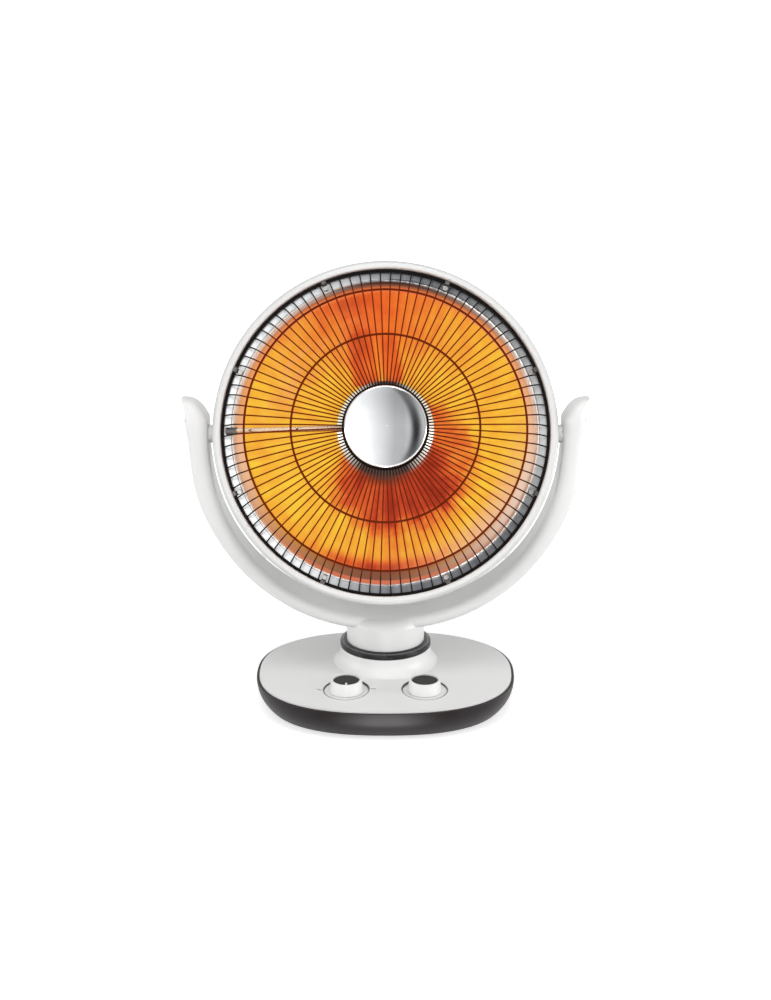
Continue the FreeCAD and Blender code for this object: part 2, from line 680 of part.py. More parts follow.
def tooth_wires(teeth, first, count, bore):
    """Face of a toothed wheel or sector about the origin, its teeth counted from +X."""
    pitch = GEAR_MODULE * teeth / 2
    alpha = math.radians(PRESSURE_ANGLE)
    base = pitch * math.cos(alpha)
    tip = pitch + ADDENDUM * GEAR_MODULE
    root = pitch - DEDENDUM * GEAR_MODULE
    half = (math.pi * GEAR_MODULE / 2 - BACKLASH / 2) / (2 * pitch) + math.tan(alpha) - alpha
    step = 2 * math.pi / teeth
    flank = involute_flank(base, root, tip, half)

    def at(radius, angle):
        return V(radius * math.cos(angle), radius * math.sin(angle), 0)

    edges, last = [], None
    for i in range(first, first + count):
        centre = i * step
        rising = [at(r, centre - a) for r, a in flank]
        falling = [at(r, centre + a) for r, a in reversed(flank)]
        start, end = at(root, centre - half), at(root, centre + half)
        if last is not None:
            edges.append(Part.Arc(last, at(root, centre - step / 2), start).toShape())
        if (rising[0] - start).Length > 1e-6:
            edges.append(Part.LineSegment(start, rising[0]).toShape())
        up, down = Part.BSplineCurve(), Part.BSplineCurve()
        up.interpolate(rising)
        down.interpolate(falling)
        edges.append(up.toShape())
        edges.append(Part.Arc(rising[-1], at(tip, centre), falling[0]).toShape())
        edges.append(down.toShape())
        if (falling[-1] - end).Length > 1e-6:
            edges.append(Part.LineSegment(falling[-1], end).toShape())
        last = end
    opening = at(root, first * step - half)
    middle = ((first + first + count - 1) * step) / 2 + math.pi
    edges.append(Part.Arc(last, at(root, middle), opening).toShape())
    hole = Part.Wire(Part.Circle(ORIGIN, Z_AXIS, bore).toShape())
    return Part.Face([Part.Wire(edges), hole])


def sector_gear():
    """Toothed sector pressed on the hub, with a tooth gap facing the pinion at rest."""
    first = -(SECTOR_CUT_TEETH // 2)
    face = tooth_wires(SECTOR_TEETH, first, SECTOR_CUT_TEETH, HUB_RADIUS + SNUG)
    gear = face.extrude(V(0, 0, GEAR_WIDTH))
    gear.rotate(ORIGIN, Z_AXIS, 90)
    return moved(gear, 0, SWIVEL_Y, GEAR_FLOOR)


def drive_pinion():
    face = tooth_wires(PINION_TEETH, 0, PINION_TEETH, MOTOR_SHAFT_RADIUS + SNUG)
    gear = face.extrude(V(0, 0, GEAR_WIDTH))
    gear.rotate(ORIGIN, Z_AXIS, -90 + 180 / PINION_TEETH)
    return moved(gear, 0, PINION_Y, GEAR_FLOOR)


MOTOR_TOP = FLOOR_Z + MOTOR_HEIGHT
MOTOR_BOSS_TOP = MOTOR_TOP + MOTOR_BOSS
MOTOR_SHAFT_FOOT = MOTOR_TOP - MOTOR_SHAFT_SUNK


def motor_shaft():
    return rod(MOTOR_SHAFT_RADIUS, V(0, PINION_Y, MOTOR_SHAFT_FOOT), V(0, PINION_Y, GEAR_FLOOR + GEAR_WIDTH))


def swing_motor():
    """Flat gearmotor on the tray's floor, its shaft off centre."""
    middle = PINION_Y + MOTOR_OFFSET
    can = rod(MOTOR_RADIUS, V(0, middle, FLOOR_Z), V(0, middle, MOTOR_TOP))
    boss = rod(2 * MOTOR_SHAFT_RADIUS, V(0, PINION_Y, FLOOR_Z + 1), V(0, PINION_Y, MOTOR_BOSS_TOP))
    bore_foot, bore_top = MOTOR_SHAFT_FOOT - SEAM, MOTOR_BOSS_TOP + 1
    bore = rod(MOTOR_SHAFT_RADIUS + RUNNING, V(0, PINION_Y, bore_foot), V(0, PINION_Y, bore_top))
    ears = []
    ear_z = MOTOR_TOP - MOTOR_EAR_SHEET
    for side in (-1, 1):
        x = side * (MOTOR_RADIUS + MOTOR_EAR)
        ears.append(rod(MOTOR_EAR, V(x, middle, ear_z), V(x, middle, MOTOR_TOP)))
        tab = (2 * MOTOR_EAR, 2 * MOTOR_EAR, MOTOR_EAR_SHEET)
        ears.append(block(tab, side * MOTOR_RADIUS, middle, ear_z))
    return whole(can.fuse([boss] + ears).cut(bore))


# Swivel

def swivel_hub():
    """Flanged tube under the neck that turns in the riser."""
    top = NECK_Z + HUB_SOCKET
    outer = NECK_BORE - SNUG
    profile = [
        (HUB_BORE, GEAR_FLOOR), (HUB_RADIUS, GEAR_FLOOR), (HUB_RADIUS, NECK_Z), (outer, NECK_Z), (outer, top),
        (outer - YOKE_WALL, top), (outer - YOKE_WALL, NECK_Z + YOKE_WALL), (HUB_BORE, NECK_Z + YOKE_WALL),
    ]
    hub = moved(turned(profile), 0, SWIVEL_Y, 0)
    holes = [rod(SCREW_RADIUS + SNUG, V(x, SWIVEL_Y, z), V(x, SWIVEL_Y + NECK_RADIUS + 1, z))
             for x, z in neck_screw_places()]
    return whole(hub.cut(holes))


def swivel_washer():
    inner = HUB_RADIUS + SEAM
    return moved(tube(NECK_RADIUS - SEAM, inner, RISER_Z, WASHER_Z), 0, SWIVEL_Y, 0)


def hub_retainer():
    """Ring on the hub that keeps it in the riser."""
    top = RISER_Z - RISER_PLATE - SEAM
    inner = HUB_RADIUS + SNUG
    return moved(tube(HUB_RADIUS + RETAINER_WIDTH, inner, top - RETAINER_THICKNESS, top), 0, SWIVEL_Y, 0)


# Yoke, modelled about the tilt axis and then carried to its place

def yoke_place(shape):
    return moved(shape, 0, SWIVEL_Y, PIVOT_Z)


def oval_reach(half_width, half_height, angle):
    """Distance from the centre of an oval to its edge, angle measured from straight down."""
    across, down = abs(math.sin(angle)) / half_width, abs(math.cos(angle)) / half_height
    return (across ** YOKE_ROUNDNESS + down ** YOKE_ROUNDNESS) ** (-1 / YOKE_ROUNDNESS)


def band_size(angle):
    """Inner reach, outer reach and half depth of the U at an angle from straight down."""
    near = oval_reach(ARM_INNER, CRADLE_INNER, angle)
    far = oval_reach(ARM_OUTER, CRADLE_OUTER, angle)
    half_depth = ARM_HALF_DEPTH + (CRADLE_HALF_DEPTH - ARM_HALF_DEPTH) * math.cos(angle) ** 4
    return near, far, half_depth


def yoke_section(centre, outward, near, far, half_depth, rounding):
    corners = []
    for reach, depth in ((near, -half_depth), (far, -half_depth), (far, half_depth), (near, half_depth)):
        corners.append(centre + outward * reach + Y_AXIS * depth)
    return rounded_wire(corners, [rounding] * 4, True)


def arm_sections(side, inset):
    """Sections of one arm above the tilt axis, from its shoulder down."""
    outward = X_AXIS * side
    levels = ((ARM_TOP, SHOULDER), (ARM_TOP - 2.5, 0), (ARM_TOP / 2, 0))
    wires = []
    for height, drawn in levels:
        lean = ARM_FLARE * height / ARM_TOP
        drawn = max(drawn, inset)
        wires.append(yoke_section(
            Z_AXIS * height, outward, ARM_INNER + drawn, ARM_OUTER + lean - drawn, ARM_HALF_DEPTH - drawn,
            YOKE_ROUND - drawn))
    return wires


def yoke_form(inset):
    """The U from shoulder to shoulder, deepening towards the neck."""
    wires = arm_sections(1, inset)
    for degrees in range(90, -91, -15):
        angle = math.radians(degrees)
        outward = V(math.sin(angle), 0, -math.cos(angle))
        near, far, half_depth = band_size(angle)
        rounding = min(YOKE_ROUND, BAND_ROUND * (far - near)) - inset
        wires.append(yoke_section(ORIGIN, outward, near + inset, far - inset, half_depth - inset, rounding))
    wires += reversed(arm_sections(-1, inset))
    return loft(wires)


NECK_FOOT = NECK_Z - PIVOT_Z
NECK_TOP = -CRADLE_INNER - NECK_DROP


def neck_post(inset):
    """Round neck with a rounded top."""
    radius, top = NECK_RADIUS - inset, NECK_TOP - inset
    foot = NECK_FOOT - inset
    return turned([(0, foot), (radius, foot), (radius, top), (0, top)], [0, 0, NECK_ROUND - inset, 0])


def neck_spread():
    """Webs at both sides of the neck that carry it into the U."""
    wires = []
    for height, spread in ((0, 0), (0.3, 0.1), (0.6, 0.38), (1, 1)):
        z = NECK_TOP - NECK_SPREAD_HEIGHT * (1 - height)
        wires.append(oval(NECK_RADIUS - SEAM + NECK_SPREAD * spread, CRADLE_HALF_DEPTH - SEAM, 2, 0, z))
    return loft(wires)


def neck_screw_places():
    """Across and up, on the back of the neck."""
    return [(side * NECK_SCREW_X, NECK_Z + HUB_SOCKET - NECK_SCREW_DROP) for side in (-1, 1)]


def yoke_post_places():
    """Middles of the posts that take the screws between the two halves."""
    places = []
    for degrees in YOKE_SCREW_ANGLES:
        angle = math.radians(degrees)
        near, far, depth = band_size(angle)
        middle = (near + far) / 2
        places.append((middle * math.sin(angle), -middle * math.cos(angle), depth))
    return places


BOSS_END = RIM_RADIUS + 0.6
SCREW_BED = 6.0             # yoke screws' seats behind the seam of the two halves


def yoke_shell():
    """Hollow U with its neck, pivot bosses and screw posts, before it is parted into halves."""
    outside = yoke_form(0).fuse([neck_post(0), neck_spread()])
    inside = yoke_form(YOKE_WALL)
    shell = outside.cut(inside.fuse(neck_post(YOKE_WALL)))
    added = []
    for x, z, depth in yoke_post_places():
        added.append(rod(POST_RADIUS, V(x, -depth, z), V(x, depth, z)).common(outside))
    for side in (-1, 1):
        added.append(rod(BOSS_RADIUS, V(side * BOSS_END, 0, 0), V(side * (BOSS_END + BUSH_LENGTH), 0, 0)))
    shell = shell.fuse(added)
    cuts = []
    for side in (-1, 1):
        start = V(side * (BOSS_END - 1), 0, 0)
        cuts.append(rod(BUSH_RADIUS + SNUG, start, V(side * (BOSS_END + BUSH_LENGTH + 1), 0, 0)))
    for x, z, depth in yoke_post_places():
        cuts.append(rod(SCREW_RADIUS + SNUG, V(x, -depth + 2 * YOKE_WALL, z), V(x, depth + 1, z)))
        cuts.append(rod(SCREW_HEAD_RADIUS + SEAM, V(x, SCREW_BED, z), V(x, depth + 1, z)))
    for x, z in neck_screw_places():
        cuts.append(rod(SCREW_RADIUS + SNUG, V(x, 0, z - PIVOT_Z), V(x, NECK_RADIUS + 1, z - PIVOT_Z)))
    return shell.cut(cuts)


def yoke_half(shell, front):
    reach = 2 * (ARM_OUTER + HORN_REACH)
    low = -reach if front else 0
    slab = Part.makeBox(2 * reach, reach, 2 * reach, V(-reach, low, -reach))
    return yoke_place(whole(shell.common(slab)))


def arm_horn(side):
    """Finger horn that plugs the top of an arm and curls outwards to a tip."""
    outward = X_AXIS * side
    near, far = ARM_INNER + SHOULDER, ARM_OUTER + ARM_FLARE - HORN_STEP
    depth = ARM_HALF_DEPTH - SHOULDER
    levels = ((0, 0, 0, 0), (0.2, 0.1, 0.07, 0.04), (0.45, 0.23, 0.26, 0.12), (0.7, 0.41, 0.57, 0.26),
              (0.88, 0.61, 0.87, 0.42), (0.97, 0.82, 1.0, 0.58), (1.0, 1.0, 0.92, 0.7))
    wires = []
    for height, lean, reach, taper in levels:
        low_x = near + HORN_LEAN * lean
        high_x = far + HORN_REACH * reach
        half_depth = depth * (1 - taper)
        rounding = min(YOKE_ROUND - SHOULDER, 0.42 * (high_x - low_x), 0.9 * half_depth)
        centre = Z_AXIS * (ARM_TOP + HORN_HEIGHT * height)
        wires.append(yoke_section(centre, outward, low_x, high_x, half_depth, rounding))
    horn = loft(wires)
    inset = YOKE_WALL + SEAM
    plug = []
    for height in (ARM_TOP - 7, ARM_TOP):
        lean = ARM_FLARE * (ARM_TOP - 7) / ARM_TOP
        plug.append(yoke_section(
            Z_AXIS * height, outward, ARM_INNER + inset, ARM_OUTER + lean - inset, ARM_HALF_DEPTH - inset,
            YOKE_ROUND - inset))
    return yoke_place(whole(horn.fuse(loft(plug))))


def pivot_bushes():
    bush = []
    for side in (-1, 1):
        start, end = V(side * BOSS_END, 0, 0), V(side * (BOSS_END + BUSH_LENGTH), 0, 0)
        bush.append(yoke_place(rod(BUSH_RADIUS, start, end).cut(rod(PIN_RADIUS + RUNNING, start, end))))
    return bush


def yoke_screws():
    screws = []
    for x, z, depth in yoke_post_places():
        shank = rod(SCREW_RADIUS, V(x, -SCREW_BED, z), V(x, SCREW_BED + 0.5, z))
        head = rod(SCREW_HEAD_RADIUS, V(x, SCREW_BED, z), V(x, SCREW_BED + SCREW_HEAD_HEIGHT, z))
        screws.append(yoke_place(whole(shank.fuse(head))))
    return screws


def neck_screws():
    screws = []
    for x, z in neck_screw_places():
        seat = SWIVEL_Y + math.sqrt(NECK_RADIUS ** 2 - (abs(x) - SCREW_HEAD_RADIUS) ** 2)
        tip = SWIVEL_Y + NECK_RADIUS - 4 * YOKE_WALL
        shank = rod(SCREW_RADIUS, V(x, tip, z), V(x, seat + 0.5, z))
        head = rod(SCREW_HEAD_RADIUS, V(x, seat, z), V(x, seat + SCREW_HEAD_HEIGHT, z))
        head = head.makeFillet(1.0, [edge for edge in head.Edges if edge.BoundBox.YMin > seat + 1])
        screws.append(whole(shank.fuse(head)))
    return screws


# Head, modelled about the tilt axis with its face towards -Y, then tilted and carried to its place

def head_place(shape):
    return yoke_place(turned_copy(shape, -HEAD_TILT, X_AXIS))


def around(shape, degrees):
    """Copy turned about the head's axis."""
    return turned_copy(shape, degrees, Y_AXIS)


def pin_holes(radius):
    reach = ARM_INNER
    return rod(radius, V(-reach, 0, 0), V(reach, 0, 0))


def housing_screw_angles():
    return [360 / HOUSING_SCREWS * (i + 0.5) for i in range(HOUSING_SCREWS)]


HOUSING_SCREW_Y = RIM_BACK - HOUSING_SKIRT / 2


def front_bezel():
    inside = RIM_RADIUS - RIM_WALL
    profile = [
        (LIP_RADIUS, -LIP_BACK), (LIP_RADIUS, -RIM_FRONT), (RIM_RADIUS, -RIM_FRONT), (RIM_RADIUS, RIM_BACK),
        (inside, RIM_BACK), (inside, -LIP_BACK),
    ]
    ring = turned(profile, [0, 1.6, 4.2, 0, 0, 0], Y_AXIS)
    cuts = [pin_holes(PIN_RADIUS + SNUG)]
    hole = rod(SCREW_RADIUS + SNUG, V(inside - 1, HOUSING_SCREW_Y, 0), V(RIM_RADIUS + 1, HOUSING_SCREW_Y, 0))
    cuts += [around(hole, degrees) for degrees in housing_screw_angles()]
    return head_place(whole(ring.cut(cuts)))


def housing_arc(inset):
    """Side of the rear housing: start, middle and end of its round side, in radius and depth."""
    start = (RIM_RADIUS - inset, RIM_BACK + SEAM)
    end = (HOUSING_FLAT, HOUSING_BACK - inset)
    middle = (RIM_RADIUS * 0.75 - inset * 0.6, RIM_BACK + HOUSING_DEPTH * 0.53 - inset * 0.8)
    return [V(r, y, 0) for r, y in (start, middle, end)]


def rear_housing():
    """Bowl behind the reflector, with a ring of vents and a skirt inside the bezel."""
    skirt = FLANGE_EDGE
    skirt_front = RIM_BACK - HOUSING_SKIRT
    outer, inner = housing_arc(0), housing_arc(HOUSING_WALL)
    inner_start = V(skirt - HOUSING_WALL, inner[0].y, 0)
    path = [
        inner[2], V(0, inner[2].y, 0), V(0, outer[2].y, 0), outer[2], outer[0], V(skirt, outer[0].y, 0),
        V(skirt, skirt_front, 0), V(inner_start.x, skirt_front, 0), inner_start,
    ]
    arcs = [Part.Arc(outer[2], outer[1], outer[0]), Part.Arc(inner_start, inner[1], inner[2])]
    edges = [arc.toShape() for arc in arcs]
    for a, b in zip(path, path[1:]):
        if a is not outer[2]:
            edges.append(Part.LineSegment(a, b).toShape())
    bowl = Part.Face(Part.Wire(Part.__sortEdges__(edges))).revolve(ORIGIN, Y_AXIS, 360)
    corner = V(VENT_INNER, RIM_BACK, -VENT_WIDTH / 2)
    slot = Part.makeBox(VENT_OUTER - VENT_INNER, HOUSING_BACK, VENT_WIDTH, corner)
    cuts = [around(slot, 360 / VENT_COUNT * (i + 0.5)) for i in range(VENT_COUNT)]
    hole = rod(SCREW_RADIUS + SNUG, V(skirt - 10, HOUSING_SCREW_Y, 0), V(RIM_RADIUS, HOUSING_SCREW_Y, 0))
    cuts += [around(hole, degrees) for degrees in housing_screw_angles()]
    return head_place(whole(bowl.cut(cuts)))


def housing_screws():
    seat = RIM_RADIUS
    tip = RIM_RADIUS - 2 * RIM_WALL - HOUSING_WALL
    shank = rod(SCREW_RADIUS, V(tip, HOUSING_SCREW_Y, 0), V(seat + 0.5, HOUSING_SCREW_Y, 0))
    top = seat + SCREW_HEAD_HEIGHT / 2
    head = rod(SCREW_HEAD_RADIUS, V(seat, HOUSING_SCREW_Y, 0), V(top, HOUSING_SCREW_Y, 0))
    screw = whole(shank.fuse(head))
    return [head_place(around(screw, degrees)) for degrees in housing_screw_angles()]


def dish_y(radius):
    """Front face of the parabola, behind the flange."""
    return DISH_FRONT + SHEET + DISH_DEPTH * (1 - (radius / DISH_RADIUS) ** 2)


def reflector_dish():
    """Pressed sheet: flange under the bezel's lip, a raised bead and a parabola with the socket's hole."""
    seat = DISH_FRONT
    bead_top = (DISH_RADIUS + BEAD_WIDTH / 2, seat - BEAD_HEIGHT)
    front = [(FLANGE_EDGE, seat), (bead_edge(), seat), bead_top, (DISH_RADIUS, dish_y(DISH_RADIUS))]
    steps = 8
    curve_radii = [DISH_RADIUS + (DISH_HOLE - DISH_RADIUS) * i / steps for i in range(steps + 1)]

    def side(shift):
        corners = [V(r, y + shift, 0) for r, y in front]
        wire = rounded_wire(corners, [0, 1.2, 1.6, 0], False)
        bowl = Part.BSplineCurve()
        bowl.interpolate([V(r, dish_y(r) + shift, 0) for r in curve_radii])
        return wire.Edges + [bowl.toShape()]

    face_edges, back_edges = side(0), side(SHEET)
    hole_y = dish_y(DISH_HOLE)
    hole = Part.LineSegment(V(DISH_HOLE, hole_y, 0), V(DISH_HOLE, hole_y + SHEET, 0)).toShape()
    rim = Part.LineSegment(V(FLANGE_EDGE, seat, 0), V(FLANGE_EDGE, seat + SHEET, 0)).toShape()
    wire = Part.Wire(Part.__sortEdges__(face_edges + [hole] + back_edges + [rim]))
    dish = Part.Face(wire).revolve(ORIGIN, Y_AXIS, 360)
    hole = rod(CLIP_SCREW + SNUG, V(CLIP_SCREW_RADIUS, seat - 5, 0), V(CLIP_SCREW_RADIUS, seat + 5, 0))
    return head_place(whole(dish.cut([around(hole, degrees) for degrees in clip_angles()])))


# Guard

def wire_corners():
    """One guard wire in radius and depth, from the edge ring over the bend to the hub plate."""
    lift = GUARD_EDGE / 2 + GUARD_WIRE / 2 + SNUG
    slope = math.atan2(GUARD_BEND_DEPTH - GUARD_EDGE_DEPTH, GUARD_EDGE_RADIUS - GUARD_BEND_RADIUS)
    start = (GUARD_EDGE_RADIUS - lift * math.cos(slope), -GUARD_EDGE_DEPTH - lift * math.sin(slope))
    bend = (GUARD_BEND_RADIUS, -GUARD_BEND_DEPTH)
    middle = (GUARD_RING_RADII[-1], -GUARD_MID_DEPTH)
    return [start, bend, middle, (WIRE_END, -GUARD_HUB_DEPTH)]


def wire_depth(radius):
    """Depth of a guard wire's middle line at a radius inside its bend."""
    corners = wire_corners()
    for (r0, y0), (r1, y1) in zip(corners[1:], corners[2:]):
        if r1 <= radius <= r0:
            return y0 + (y1 - y0) * (r0 - radius) / (r0 - r1)
    return corners[-1][1]


def guard_wires():
    points = [V(r, y, 0) for r, y in wire_corners()]
    path = Part.makePolygon(points)
    circle = Part.Wire(Part.Circle(points[0], points[1] - points[0], GUARD_WIRE / 2).toShape())
    shell = Part.BRepOffsetAPI.MakePipeShell(path)
    shell.setTransitionMode(1)
    shell.add(circle)
    shell.build()
    shell.makeSolid()
    wire = shell.shape()
    return [head_place(around(wire, 360 / GUARD_WIRES * (i + 0.5))) for i in range(GUARD_WIRES)]


def guard_rings():
    """Edge ring under the bezel's lip and the two rings welded behind the wires."""
    rings = [Part.makeTorus(GUARD_EDGE_RADIUS, GUARD_EDGE / 2, V(0, -GUARD_EDGE_DEPTH, 0), Y_AXIS)]
    for radius in GUARD_RING_RADII:
        behind = (GUARD_WIRE / 2 + GUARD_RING / 2) * 1.04 + SNUG
        rings.append(Part.makeTorus(radius, GUARD_RING / 2, V(0, wire_depth(radius) + behind, 0), Y_AXIS))
    return [head_place(ring) for ring in rings]


HUB_PLATE_FRONT = -GUARD_HUB_DEPTH + GUARD_WIRE / 2 + SNUG


def guard_hub_plate():
    """Black ring plate that the wires' inner ends are welded to."""
    inner = CAP_RADIUS - 3 * CAP_WALL
    front, back = HUB_PLATE_FRONT, HUB_PLATE_FRONT + GUARD_HUB_SHEET
    profile = [
        (inner, front), (GUARD_HUB_RADIUS, front + GUARD_HUB_DISH), (GUARD_HUB_RADIUS, back + GUARD_HUB_DISH),
        (inner, back),
    ]
    return head_place(turned(profile, axis=Y_AXIS))


def clip_angles():
    """Between two wires, nearest to the middle of each eighth."""
    pitch = 360 / GUARD_WIRES
    return [round((360 / CLIP_COUNT * (i + 0.5)) / pitch) * pitch for i in range(CLIP_COUNT)]


CLIP_SCREW_RADIUS = GUARD_EDGE_RADIUS - GUARD_EDGE / 2 - 4.0


def guard_clips():
    """Sheet straps over the edge ring, each with a foot on the reflector's flange."""
    seat = DISH_FRONT - SNUG
    top = -GUARD_EDGE_DEPTH - GUARD_EDGE / 2 - SNUG
    inner = GUARD_EDGE_RADIUS - GUARD_EDGE / 2 - SNUG
    outer = GUARD_EDGE_RADIUS + GUARD_EDGE / 2
    foot, bend = inner - CLIP_FOOT, inner - CLIP_SHEET
    outline = [
        (foot, seat), (foot, seat - CLIP_SHEET), (bend, seat - CLIP_SHEET), (bend, top - CLIP_SHEET),
        (outer, top - CLIP_SHEET), (outer, top), (inner, top), (inner, seat),
    ]
    wire = rounded_wire([V(r, y, -CLIP_WIDTH / 2) for r, y in outline], [0, 0, 0.6, 1.4, 0, 0, 0, 0], True)
    strap = Part.Face(wire).extrude(V(0, 0, CLIP_WIDTH))
    hole = rod(CLIP_SCREW + SNUG, V(CLIP_SCREW_RADIUS, seat - 5, 0), V(CLIP_SCREW_RADIUS, seat + 5, 0))
    strap = whole(strap.cut(hole))
    return [head_place(around(strap, degrees)) for degrees in clip_angles()]


def clip_screws():
    """Pan-head screws through the clips' feet and the reflector's flange."""
    seat = DISH_FRONT - CLIP_SHEET - 2 * SNUG
    shank = rod(CLIP_SCREW, V(CLIP_SCREW_RADIUS, seat - 0.5, 0), V(CLIP_SCREW_RADIUS, DISH_FRONT + 4, 0))
    head = rod(CLIP_SCREW_HEAD, V(CLIP_SCREW_RADIUS, seat - CLIP_SCREW, 0), V(CLIP_SCREW_RADIUS, seat, 0))
    head = head.makeFillet(0.6, [edge for edge in head.Edges if edge.BoundBox.YMax < seat - 0.5])
    screw = whole(shank.fuse(head))
    return [head_place(around(screw, degrees)) for degrees in clip_angles()]


# Heating element

CUP_CONE = (CUP_FRONT - CUP_BACK) / (CUP_RADIUS - CUP_FLOOR_RADIUS)
SOCKET_FACE = dish_y(SOCKET_RADIUS) - SEAM - SOCKET_FLANGE
SOCKET_BACK = DISH_BOTTOM + SOCKET_TAIL
CORE_FACE = -CUP_FRONT + SHEET + SEAM


def crown_arc(front, radius):
    """Arc of the cap's crown from the axis out to a radius."""
    def at(r):
        return V(r, front + CAP_CROWN * (r / CAP_RADIUS) ** 2, 0)
    return Part.Arc(at(0), at(radius / 2), at(radius)).toShape(), at(radius)


def element_cap():
    """Polished cover in the middle of the guard: a crowned disc with a turned-back edge and a boss."""
    front = -CAP_DEPTH
    back = HUB_PLATE_FRONT - GUARD_WIRE - 2 * SNUG
    crown, shoulder = crown_arc(front, CAP_RADIUS - CAP_EDGE)
    ceiling, corner = crown_arc(front + CAP_WALL, CAP_RADIUS - CAP_WALL)
    edge = V(CAP_RADIUS, shoulder.y + CAP_EDGE, 0)
    bend = V(CAP_RADIUS - CAP_EDGE * (1 - math.sqrt(0.5)), shoulder.y + CAP_EDGE * (1 - math.sqrt(0.5)), 0)
    corners = [edge, V(CAP_RADIUS, back, 0), V(corner.x, back, 0), corner]
    edges = [crown, Part.Arc(shoulder, bend, edge).toShape(), ceiling]
    edges += [Part.LineSegment(a, b).toShape() for a, b in zip(corners, corners[1:])]
    edges.append(Part.LineSegment(V(0, front, 0), V(0, front + CAP_WALL, 0)).toShape())
    shell = Part.Face(Part.Wire(Part.__sortEdges__(edges))).revolve(ORIGIN, Y_AXIS, 360)
    boss = rod(2 * ROD_RADIUS, V(0, front + CAP_WALL / 2, 0), V(0, -CUP_FRONT - SNUG, 0))
    bore = rod(ROD_RADIUS + SNUG, V(0, front + CAP_WALL + 1, 0), V(0, 0, 0))
    return head_place(whole(shell.fuse(boss).cut(bore)))


def element_cup():
    """Polished pan behind the cap that throws the glow back into the dish."""
    hole = ROD_RADIUS + SEAM
    profile = [
        (hole, -CUP_FRONT), (CUP_FLOOR_RADIUS, -CUP_FRONT), (CUP_RADIUS, -CUP_BACK),
        (CUP_RADIUS - SHEET, -CUP_BACK + SHEET), (CUP_FLOOR_RADIUS - SHEET / 2, -CUP_FRONT + SHEET),
        (hole, -CUP_FRONT + SHEET),
    ]
    return head_place(turned(profile, [0, 4, 0, 0, 3.2, 0], Y_AXIS))


def core_radius(y):
    """The winding's bed tapers towards the front."""
    share = (y - CORE_FACE) / (SOCKET_FACE - CORE_FACE)
    return CORE_FRONT_RADIUS + (CORE_BACK_RADIUS - CORE_FRONT_RADIUS) * share


def element_core():
    """Ceramic former: a tapered body between two collars."""
    low, high = SOCKET_FACE, CORE_FACE
    bore = ROD_RADIUS + SEAM
    back = core_radius(low) + CORE_COLLAR_OVERHANG
    front = core_radius(high) + CORE_COLLAR_OVERHANG
    bed_low, bed_high = low - CORE_COLLAR, high + CORE_COLLAR
    profile = [
        (bore, low), (back, low), (back, bed_low), (core_radius(bed_low), bed_low),
        (core_radius(bed_high), bed_high), (front, bed_high), (front, high), (bore, high),
    ]
    return head_place(turned(profile, [0, 1.2, 1.2, 0, 0, 1.2, 1.2, 0], Y_AXIS))


def heating_coil():
    low = SOCKET_FACE - CORE_COLLAR - COIL_WIRE
    high = CORE_FACE + CORE_COLLAR + COIL_WIRE
    slope = (CORE_BACK_RADIUS - CORE_FRONT_RADIUS) / (SOCKET_FACE - CORE_FACE)
    stand = (COIL_WIRE / 2 + COIL_SEAT) * math.hypot(1, slope)
    sweep = 2 * math.pi * COIL_TURNS

    def place(share):
        y = low + (high - low) * share
        radius = core_radius(y) + stand
        return V(radius * math.cos(sweep * share), y, radius * math.sin(sweep * share))

    def way(share):
        y = low + (high - low) * share
        radius = core_radius(y) + stand
        shrink = slope * (high - low)
        c, s = math.cos(sweep * share), math.sin(sweep * share)
        return V(shrink * c - radius * sweep * s, high - low, shrink * s + radius * sweep * c).normalize()

    solid, gap = winding(place, way, COIL_TURNS, COIL_WIRE)
    print("heating_coil: least gap to itself %.2f mm" % gap)
    return head_place(solid)


def element_socket():
    """Ceramic socket through the middle of the dish."""
    bore = ROD_RADIUS + SEAM
    tail = DISH_HOLE - SEAM
    flange_back = SOCKET_FACE + SOCKET_FLANGE
    profile = [
        (bore, SOCKET_FACE), (SOCKET_RADIUS, SOCKET_FACE), (SOCKET_RADIUS, flange_back), (tail, flange_back),
        (tail, SOCKET_BACK), (bore, SOCKET_BACK),
    ]
    return head_place(turned(profile, [0, 2, 0, 0, 1.5, 0], Y_AXIS))


def element_rod():
    """Tie rod from the cap to the nut behind the socket."""
    start, end = V(0, -CAP_DEPTH + CAP_WALL + 1.5, 0), V(0, SOCKET_BACK + NUT_HEIGHT + 2, 0)
    return head_place(rod(ROD_RADIUS, start, end))


def rod_nut():
    start = SOCKET_BACK + SNUG
    angles = [math.radians(60 * i) for i in range(6)]
    corners = [V(NUT_RADIUS * math.cos(angle), start, NUT_RADIUS * math.sin(angle)) for angle in angles]
    hexagon = Part.Face(Part.makePolygon(corners + corners[:1])).extrude(V(0, NUT_HEIGHT, 0))
    hole = rod(ROD_RADIUS + SNUG, V(0, start - 1, 0), V(0, start + NUT_HEIGHT + 1, 0))
    return head_place(whole(hexagon.cut(hole)))


def stay_line():
    """Ends of the stay tube in radius and depth: in the clamp at the rim, and on the cup's cone."""
    rim_end = (bead_edge() + STAY_CLAMP_RADIUS, DISH_FRONT - BEAD_HEIGHT - SEAM - STAY_CLAMP_RADIUS)
    touch = (CUP_RADIUS + CUP_FLOOR_RADIUS) / 2
    cone_y = -CUP_FRONT + CUP_CONE * (touch - CUP_FLOOR_RADIUS)
    lift = (STAY_RADIUS + SEAM) * math.hypot(1, CUP_CONE)
    return rim_end, (touch, cone_y - lift)


def stay_point(radius):
    (r0, y0), (r1, y1) = stay_line()
    return V(-radius, y0 + (y1 - y0) * (r0 - radius) / (r0 - r1), 0)


def support_stay():
    """Polished tube from the rim to the hub, behind the guard on the left."""
    rim_end, hub_end = stay_line()
    start, end = stay_point(rim_end[0]), stay_point(hub_end[0])
    return head_place(rod(STAY_RADIUS, start, end).cut(rod(STAY_RADIUS - SHEET, start, end)))


